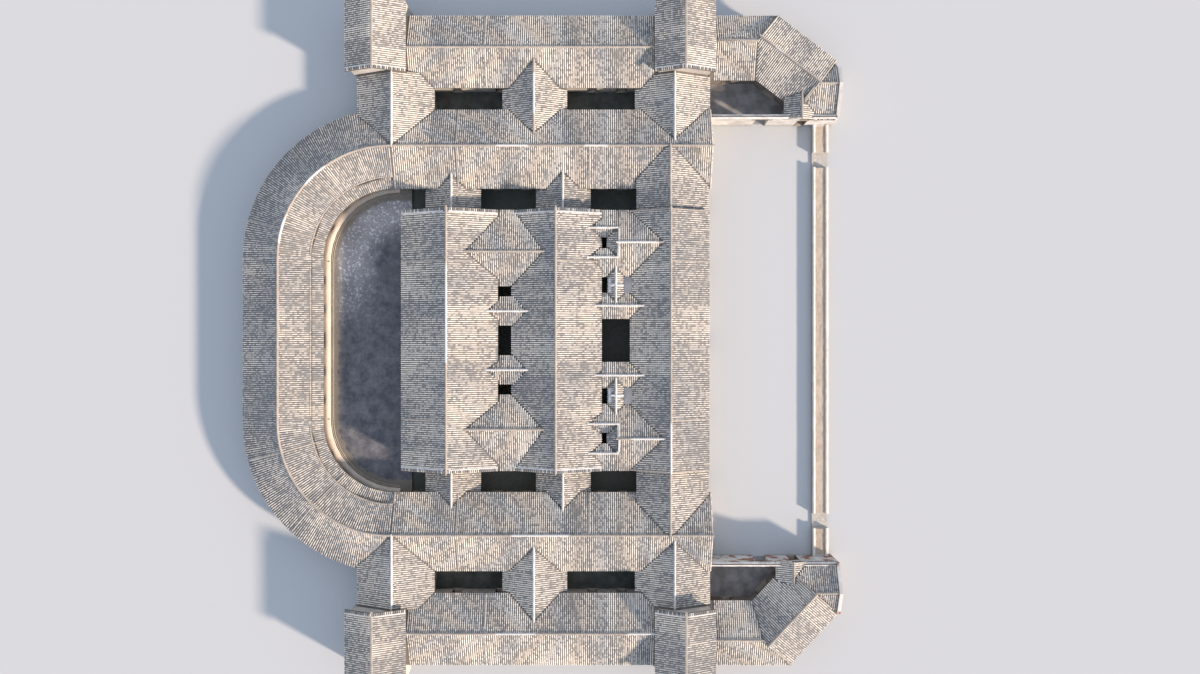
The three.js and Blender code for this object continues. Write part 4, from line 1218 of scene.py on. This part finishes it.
# %% [markdown]
# ## The walk round the crescent yard
#
# A pale lime-cement walk follows the foot of the horseshoe, and beside it two kerbs leave a narrow drain
# between them. Walk and kerbs are sections swept along the same curve, each at its own radius.

# %% Walk and kerb
YARD_TOP = 0.45
WALK_RADIUS = 9.06
KERB_RADIUS = 8.47
OUTER_KERB_RADIUS = 8.27


def yard_curve(radius):
    return [
        (Vector((*start, YARD_TOP)) * SCALE, Vector((*end, YARD_TOP)) * SCALE)
        for start, end in horseshoe_segments(radius)
    ]


CEMENT, KERB = MATERIALS["walk_cement"], MATERIALS["kerb_stone"]
sweep_piece("yard_walk", yard_curve(WALK_RADIUS), "walk_slab", CEMENT, 1.5)
sweep_piece("yard_kerb", yard_curve(KERB_RADIUS), "kerb", KERB, 1.5, 0.01)
sweep_piece("yard_outer_kerb", yard_curve(OUTER_KERB_RADIUS), "kerb", KERB, 1.5, 0.01, seed=8)

# %% [markdown]
# ## Eaves boards
#
# A board closes the rafter ends along each eave, just under the last tiles. It is set a little back from
# the edge and down the face of the roof slab, so it stays inside the CAD outline.

# %% Eaves boards
def make_timber_material():
    finish = Finish("weathered_timber", 0.82)
    shrunk = {"Vector": finish.place, "Scale": (1.0, 1.0, 0.12)}
    stretch = add_node(finish.tree, "ShaderNodeMapping", shrunk)
    grain = add_noise(finish.tree, stretch.outputs["Vector"], 260.0, 5.0, 0.65)
    _, patch, _ = finish.age(5.0, 80.0)
    colour = finish.mix(grain.ramp(0.35, 0.65), (0.085, 0.06, 0.042), (0.19, 0.135, 0.09))
    colour = finish.mix(patch * 0.4, colour, (0.20, 0.18, 0.16))
    return finish.done(colour, grain, 0.4, 0.0008)


TIMBER = make_timber_material()
BOARD_INSET = 0.03
sweep_piece("eaves_boards", moved_in(LINES["eave"], BOARD_INSET), "eave_board", TIMBER, 2.0)

# %% Rafters under the eaves
RAFTER_PITCH = 0.5
RAFTER_REACH = (0.06, 0.47)
RAFTER_HALF_HEIGHT = 0.045
ROOF_THICKNESS = 0.22
ROOF_RISES = (0.3, 0.6)


def rafter_lines():
    """Short level-headed lines under each eave, from just behind its board back to the wall's face."""
    lines = []
    drop = Vector((0.0, 0.0, (ROOF_THICKNESS + RAFTER_HALF_HEIGHT) * SCALE))
    for start, end, inward, _ in LINES["eave"]:
        count = int((end - start).length / (RAFTER_PITCH * SCALE))
        for index in range(count):
            point = start.lerp(end, (index + 0.5) / count)
            near, far = (look_down(point + inward * reach * SCALE)[0] for reach in RAFTER_REACH)
            if near is None or far is None:
                continue
            rise = (far.z - near.z) / (far - near).to_2d().length
            if ROOF_RISES[0] < rise < ROOF_RISES[1]:
                lines.append((near - drop, far - drop))
    return lines


sweep_piece("rafters", rafter_lines(), "rafter", TIMBER, 1.0)

# %% [markdown]
# ## Door and window frames
#
# Every doorway and window is a plain hole in the CAD wall. Its soffit, the small level face that looks down
# from the head of the hole, tells where it is, how wide it is and which way the wall runs, so the frames
# need no list of places. One frame of each kind is built from squared timbers, and a Geometry Nodes tree
# sets it at every soffit.

# %% Finding the soffits
# For each kind of hole: its soffit's height above the ground, its clear height and width, and its number of
# bars
HOLES = {
    "door": (2.45, 2.3, 1.2, 0),
    "wide_door": (2.95, 2.8, 2.0, 0),
    "hall_opening": (3.65, 3.5, 4.6, 0),
    "window": (2.35, 1.0, 0.8, 6),
    "high_window": (2.85, 0.7, 0.5, 4),
    "tower_window": (4.95, 0.8, 0.6, 4),
}
WALL_THICKNESS = 0.4
# How far a soffit's height, the wall's thickness and the hole's width may be from those stated
SOFFIT_FIT = 0.004 * SCALE
JAMB_FIT = 0.03 * SCALE
WIDTH_FIT = 0.04 * SCALE
SQUARE_FIT = 0.05


def soffit_faces(triangles, height):
    """Groups a node's downward triangles at one height into faces that share corners."""
    normals, areas = triangle_normals(triangles)
    level = np.abs(triangles[:, :, 2] - height * SCALE).max(axis=1) < SOFFIT_FIT
    faces = []
    for triangle in triangles[(normals[:, 2] < -0.99) & level & (areas > 1e-9)]:
        corners = {tuple(round(float(value), 4) for value in point[:2]) for point in triangle}
        joined = [face for face in faces if face & corners]
        faces = [face for face in faces if not face & corners] + [corners.union(*joined)]
    return faces


def read_hole(face, width):
    """Middle of a soffit and the turn of its wall, or nothing where the face isn't a whole hole's."""
    corners = [Vector((x, y)) for x, y in face]
    jambs = [
        (a, b) for index, a in enumerate(corners) for b in corners[index + 1:]
        if abs((a - b).length - WALL_THICKNESS * SCALE) < JAMB_FIT
    ]
    for index, (a, b) in enumerate(jambs):
        for c, d in jambs[index + 1:]:
            across = (c + d) / 2 - (a + b) / 2
            lean = abs(across.normalized().dot((b - a).normalized()))
            if abs(across.length - width * SCALE) < WIDTH_FIT and lean < SQUARE_FIT:
                return ((a + b + c + d) / 4, math.atan2(across.y, across.x))
    return None


def find_holes():
    found = {kind: [] for kind in HOLES}
    for name in WALL_NAMES:
        triangles = read_triangles(NODES[name])
        for kind, (soffit, _, width, _) in HOLES.items():
            for face in soffit_faces(triangles, soffit):
                hole = read_hole(face, width)
                if hole:
                    found[kind].append((Vector((hole[0].x, hole[0].y, soffit * SCALE)), hole[1]))
    return found


FOUND = find_holes()
print({kind: len(spots) for kind, spots in FOUND.items()})

# %% A frame of each kind
DOOR_POST = 0.10
WINDOW_POST = 0.06
LINTEL_THICKNESS = 0.14
BAR = 0.035


def add_beam(mesh, centre, size):
    """A squared timber with slightly broken edges, in real metres."""
    made = bmesh.ops.create_cube(mesh, size=1.0)
    for vertex in made["verts"]:
        vertex.co = Vector([(vertex.co[axis] * size[axis] + centre[axis]) * SCALE for axis in range(3)])
    edges = list({edge for vertex in made["verts"] for edge in vertex.link_edges})
    bmesh.ops.bevel(mesh, geom=edges, offset=min(size) * 0.12 * SCALE, segments=1, affect="EDGES")


def make_form(name, beams):
    mesh = bmesh.new()
    for centre, size in beams:
        add_beam(mesh, centre, size)
    data = bpy.data.meshes.new(name)
    mesh.to_mesh(data)
    mesh.free()
    return bpy.data.objects.new(name + "_form", data)


def frame_beams(height, width, bars):
    """Two posts, a head, a lintel and the bars, as middles and sizes below the soffit."""
    post = WINDOW_POST if bars else DOOR_POST
    depth = WALL_THICKNESS + 0.06
    beams = [((side * (width - post) / 2, 0.0, -height / 2), (post, depth, height)) for side in (-1, 1)]
    beams.append(((0.0, 0.0, -post / 2), (width, depth, post)))
    beams.append(((0.0, 0.0, LINTEL_THICKNESS / 2), (width + 0.4, depth, LINTEL_THICKNESS)))
    for index in range(bars):
        x = (index + 0.5) / bars * (width - 2 * post) - width / 2 + post
        beams.append(((x, 0.08, -height / 2), (BAR, BAR, height)))
    return beams


def sill_beams(height, width, bars):
    if bars:
        return [((0.0, 0.0, -height - 0.02), (width + 0.16, WALL_THICKNESS + 0.12, 0.10))]
    return [((0.0, 0.0, -height + 0.02), (width + 0.10, WALL_THICKNESS + 0.16, 0.08))]


def make_placing_tree():
    tree, given, out = new_group(
        "place_forms", "GeometryNodeTree",
        {"Spots": "Geometry", "Form": "Object", "Material": "Material"},
        {"Forms": "Geometry"},
    )
    turn = add_node(tree, "GeometryNodeInputNamedAttribute", {"Name": "turn"}, data_type="FLOAT")
    spin = add_node(tree, "FunctionNodeAxisAngleToRotation", {"Axis": UP, "Angle": turn.outputs["Attribute"]})
    form = add_node(tree, "GeometryNodeObjectInfo", {"Object": given["Form"]})
    place = add_node(tree, "GeometryNodeInstanceOnPoints", {
        "Points": given["Spots"], "Instance": form.outputs["Geometry"], "Rotation": spin.outputs[0],
    })
    return close_tree(tree, place.outputs[0], given, out)


PLACING = make_placing_tree()


def place_piece(name, spots, form, material):
    """Sets a form at each spot, turned about the vertical, with a tone of its own."""
    mesh = bpy.data.meshes.new(name + "_spots")
    mesh.from_pydata([point for point, _ in spots], [], [])
    values = {
        "turn": [turn for _, turn in spots],
        "tile_tone": [noise.cell(point * 331.0) for point, _ in spots],
        "bay_tone": [0.5] * len(spots),
    }
    for label, column in values.items():
        mesh.attributes.new(label, "FLOAT", "POINT").data.foreach_set("value", column)
    return finish_piece(bake_tree(name, mesh, PLACING, {"Form": form, "Material": material}))


for kind, (_, *sizes) in HOLES.items():
    if FOUND[kind]:
        frame_form = make_form(f"{kind}_frame", frame_beams(*sizes))
        sill_form = make_form(f"{kind}_sill", sill_beams(*sizes))
        place_piece(f"{kind}_frames", FOUND[kind], frame_form, TIMBER)
        place_piece(f"{kind}_sills", FOUND[kind], sill_form, KERB)

# %% [markdown]
# ## Gable strips
#
# The halls and the towers close their gables with a strip of short tiles laid across the slope, which throw
# the rain off the wall. The mortar line behind them is already laid. Each short tile is set on the slab's
# edge, a pitch apart.

# %% Short tiles along the gables
GABLE_TILE = make_tile("gable_tile", TILE_HALF_WIDTH, TILE_RISE, (-0.17, 0.9, 0.02), (0.17, 1.0, -0.02))
GABLE_TILE_INSET = 0.19
GABLE_TILE_LIFT = Vector((0.0, 0.0, 0.02 * SCALE))


def gable_spots():
    spots = []
    for start, end, inward, _ in GABLE_VERGES:
        count = max(1, round((end - start).length / TILE_PITCH))
        for index in range(count):
            point = start.lerp(end, (index + 0.5) / count) + inward * GABLE_TILE_INSET * SCALE
            spots.append((point + GABLE_TILE_LIFT, math.atan2(-inward.y, -inward.x)))
    return spots


place_piece("gable_tiles", gable_spots(), GABLE_TILE, COVER_TILE)

# %% [markdown]
# ## Round the skywells
#
# The bridge roof beside the main skywell carries a tiny cross ridge, and a plastered ledge stands along its
# rear edge. The well on its front side is closed by a slightly bowed sheet of slate-grey board, resting on
# both eaves.

# %% Cross ridge, ledge and well cover
# Plan lines and the cover's plan in real metres, for the right half
CROSS_RIDGE = ((6.57, -8.45), (6.57, -9.95))
WELL_LEDGE = ((5.8, -8.33), (7.4, -8.33))
WELL_COVER = ((5.66, 7.58), (-11.0, -10.05))
COVER_HEIGHT = 4.56
COVER_BOW = 0.06
COVER_THICKNESS = 0.03
COVER_GRID = (8, 3)


def make_cover_material():
    finish = Finish("slate_board", 0.6)
    broad, _, fine = finish.age(6.0, 90.0)
    colour = finish.mix(broad, (0.10, 0.115, 0.145), (0.19, 0.20, 0.23))
    colour = finish.mix(fine * 0.3, colour, (0.28, 0.25, 0.22))
    return finish.done(colour, fine, 0.3, 0.0008)


def add_grid(mesh, x_ends, y_ends, columns, rows, height):
    """A grid of faces over a plan rectangle, in real metres, with its height given for each place."""
    grid = []
    for row in range(rows + 1):
        for column in range(columns + 1):
            x = x_ends[0] + (x_ends[1] - x_ends[0]) * column / columns
            y = y_ends[0] + (y_ends[1] - y_ends[0]) * row / rows
            grid.append(mesh.verts.new(Vector((x, y, height(x, y))) * SCALE))
    for row in range(rows):
        for column in range(columns):
            a = row * (columns + 1) + column
            mesh.faces.new([grid[index] for index in (a, a + 1, a + columns + 2, a + columns + 1)])
    return grid


def bowed_sheet(x_ends, y_ends):
    """The well's cover: a sheet that bows up along x, with a skin above and below and closed edges."""
    def bow(x, _):
        return COVER_HEIGHT + COVER_BOW * math.sin(math.pi * (x - x_ends[0]) / (x_ends[1] - x_ends[0]))

    mesh = bmesh.new()
    top = add_grid(mesh, x_ends, y_ends, *COVER_GRID, bow)
    rim = [edge.verts[:] for edge in mesh.edges if edge.is_boundary]
    bottom = add_grid(mesh, x_ends, y_ends, *COVER_GRID, lambda x, y: bow(x, y) - COVER_THICKNESS)
    below = dict(zip(top, bottom))
    for a, b in rim:
        mesh.faces.new([a, b, below[b], below[a]])
    return mesh


def mesh_piece(name, mesh, material):
    data = bpy.data.meshes.new(name)
    bmesh.ops.recalc_face_normals(mesh, faces=mesh.faces)
    mesh.to_mesh(data)
    mesh.free()
    piece = bpy.data.objects.new(name, data)
    bpy.context.scene.collection.objects.link(piece)
    data.materials.append(material)
    return finish_piece(piece)


cross_ridges, ledges = (
    [line for side in (-1, 1) for line in side_line(side, *ends)] for ends in (CROSS_RIDGE, WELL_LEDGE)
)
CROSS_LIFT = 0.1 * SCALE
sweep_piece("bridge_cross_ridges", cross_ridges, "ridge_bed", WHITEWASH, 0.5, 0.01, CROSS_LIFT)
sweep_piece("well_ledges", ledges, "well_ledge", WHITEWASH, 0.5, 0.01)
SLATE_BOARD = make_cover_material()
for side, label in ((1, "right"), (-1, "left")):
    x_ends = sorted(side * x for x in WELL_COVER[0])
    mesh_piece(f"well_cover_{label}", bowed_sheet(x_ends, WELL_COVER[1]), SLATE_BOARD)

# %% [markdown]
# ## Garden walls
#
# The walls that flank the forecourt carry a mortar coping with a line of dark tiles, and a timber lintel
# with a wall head over each gateway. The low wall at the pond is two thin walls with cement caps and packed
# earth between them.

# %% Copings and lintels of the forecourt walls
FORECOURT_WALL_X = 27.0
FORECOURT_WALL_ENDS = (-20.35, -35.6)
FORECOURT_WALL_TOP = 3.7
GATEWAY = (-25.6, -28.1)
LINTEL_HEIGHT = 2.85
GATE_WALL = MATERIALS["gate_wall"]


def level_line(x0, y0, x1, y1, z):
    return (Vector((x0, y0, z)) * SCALE, Vector((x1, y1, z)) * SCALE)


def forecourt_lines(ends, height):
    """A level line along each forecourt wall, left then right."""
    return [level_line(x, ends[0], x, ends[1], height) for x in (-FORECOURT_WALL_X, FORECOURT_WALL_X)]


copings = forecourt_lines(FORECOURT_WALL_ENDS, FORECOURT_WALL_TOP)
sweep_piece("forecourt_wall_copings", copings, "coping", WHITEWASH, 0.7, 0.05)
lay_piece("forecourt_wall_tiles", copings, RIDGE_TILE, GUTTER_TILE, 0.30, 0.06, 21, lift=0.08 * SCALE)
lintels = forecourt_lines(GATEWAY, LINTEL_HEIGHT)
sweep_piece("gateway_lintels", lintels, "lintel_beam", TIMBER, 2.5)
sweep_piece("gateway_wall_heads", lintels, "lintel_wall", GATE_WALL, 2.5)

# %% Caps and earth of the wall at the pond
POND_WALL_TOP = 0.8
POND_WALL_RUNS = ((-26.75, -23.3), (-21.5, 21.5), (23.3, 26.75))
POND_WALL_CAPS = (("forecourt", -33.69, "wall_cap"), ("pond", -35.27, "wide_wall_cap"))
EARTH_RUNS = {"left": (-26.6, -23.4), "middle": (-21.4, 21.4), "right": (23.4, 26.6)}
EARTH_SIDES = (-35.19, -33.81)
EARTH_HEIGHT = 0.72
EARTH_DEPTH = 0.12
EARTH_STEP = 0.35
EARTH_ROWS = 5
for name, y, section in POND_WALL_CAPS:
    runs = [level_line(x0, y, x1, y, POND_WALL_TOP) for x0, x1 in POND_WALL_RUNS]
    caps = f"pond_wall_cap_{name}_side"
    sweep_piece(caps, runs, section, MATERIALS["pond_wall_cement"], 1.5, 0.02)


def earth_top(x, y):
    """Height of the lumpy earth at a place, in real metres."""
    broad = 0.05 * noise.noise(Vector((x * 0.9, y * 1.3, 2.0)))
    return EARTH_HEIGHT + (broad + 0.02 * noise.noise(Vector((x * 4.0, y * 4.0, 7.0))))


def earth_bed(x_ends):
    mesh = bmesh.new()
    columns = round((x_ends[1] - x_ends[0]) / EARTH_STEP)
    add_grid(mesh, x_ends, EARTH_SIDES, columns, EARTH_ROWS, earth_top)
    rim = [edge for edge in mesh.edges if edge.is_boundary]
    skirt = bmesh.ops.extrude_edge_only(mesh, edges=rim)["geom"]
    for vertex in (item for item in skirt if isinstance(item, bmesh.types.BMVert)):
        vertex.co.z = (EARTH_HEIGHT - EARTH_DEPTH) * SCALE
    bottom = [edge for edge in mesh.edges if edge.is_boundary]
    bmesh.ops.contextual_create(mesh, geom=bottom)
    return mesh


for label, x_ends in EARTH_RUNS.items():
    mesh_piece(f"pond_wall_earth_{label}", earth_bed(x_ends), MATERIALS["packed_earth"])
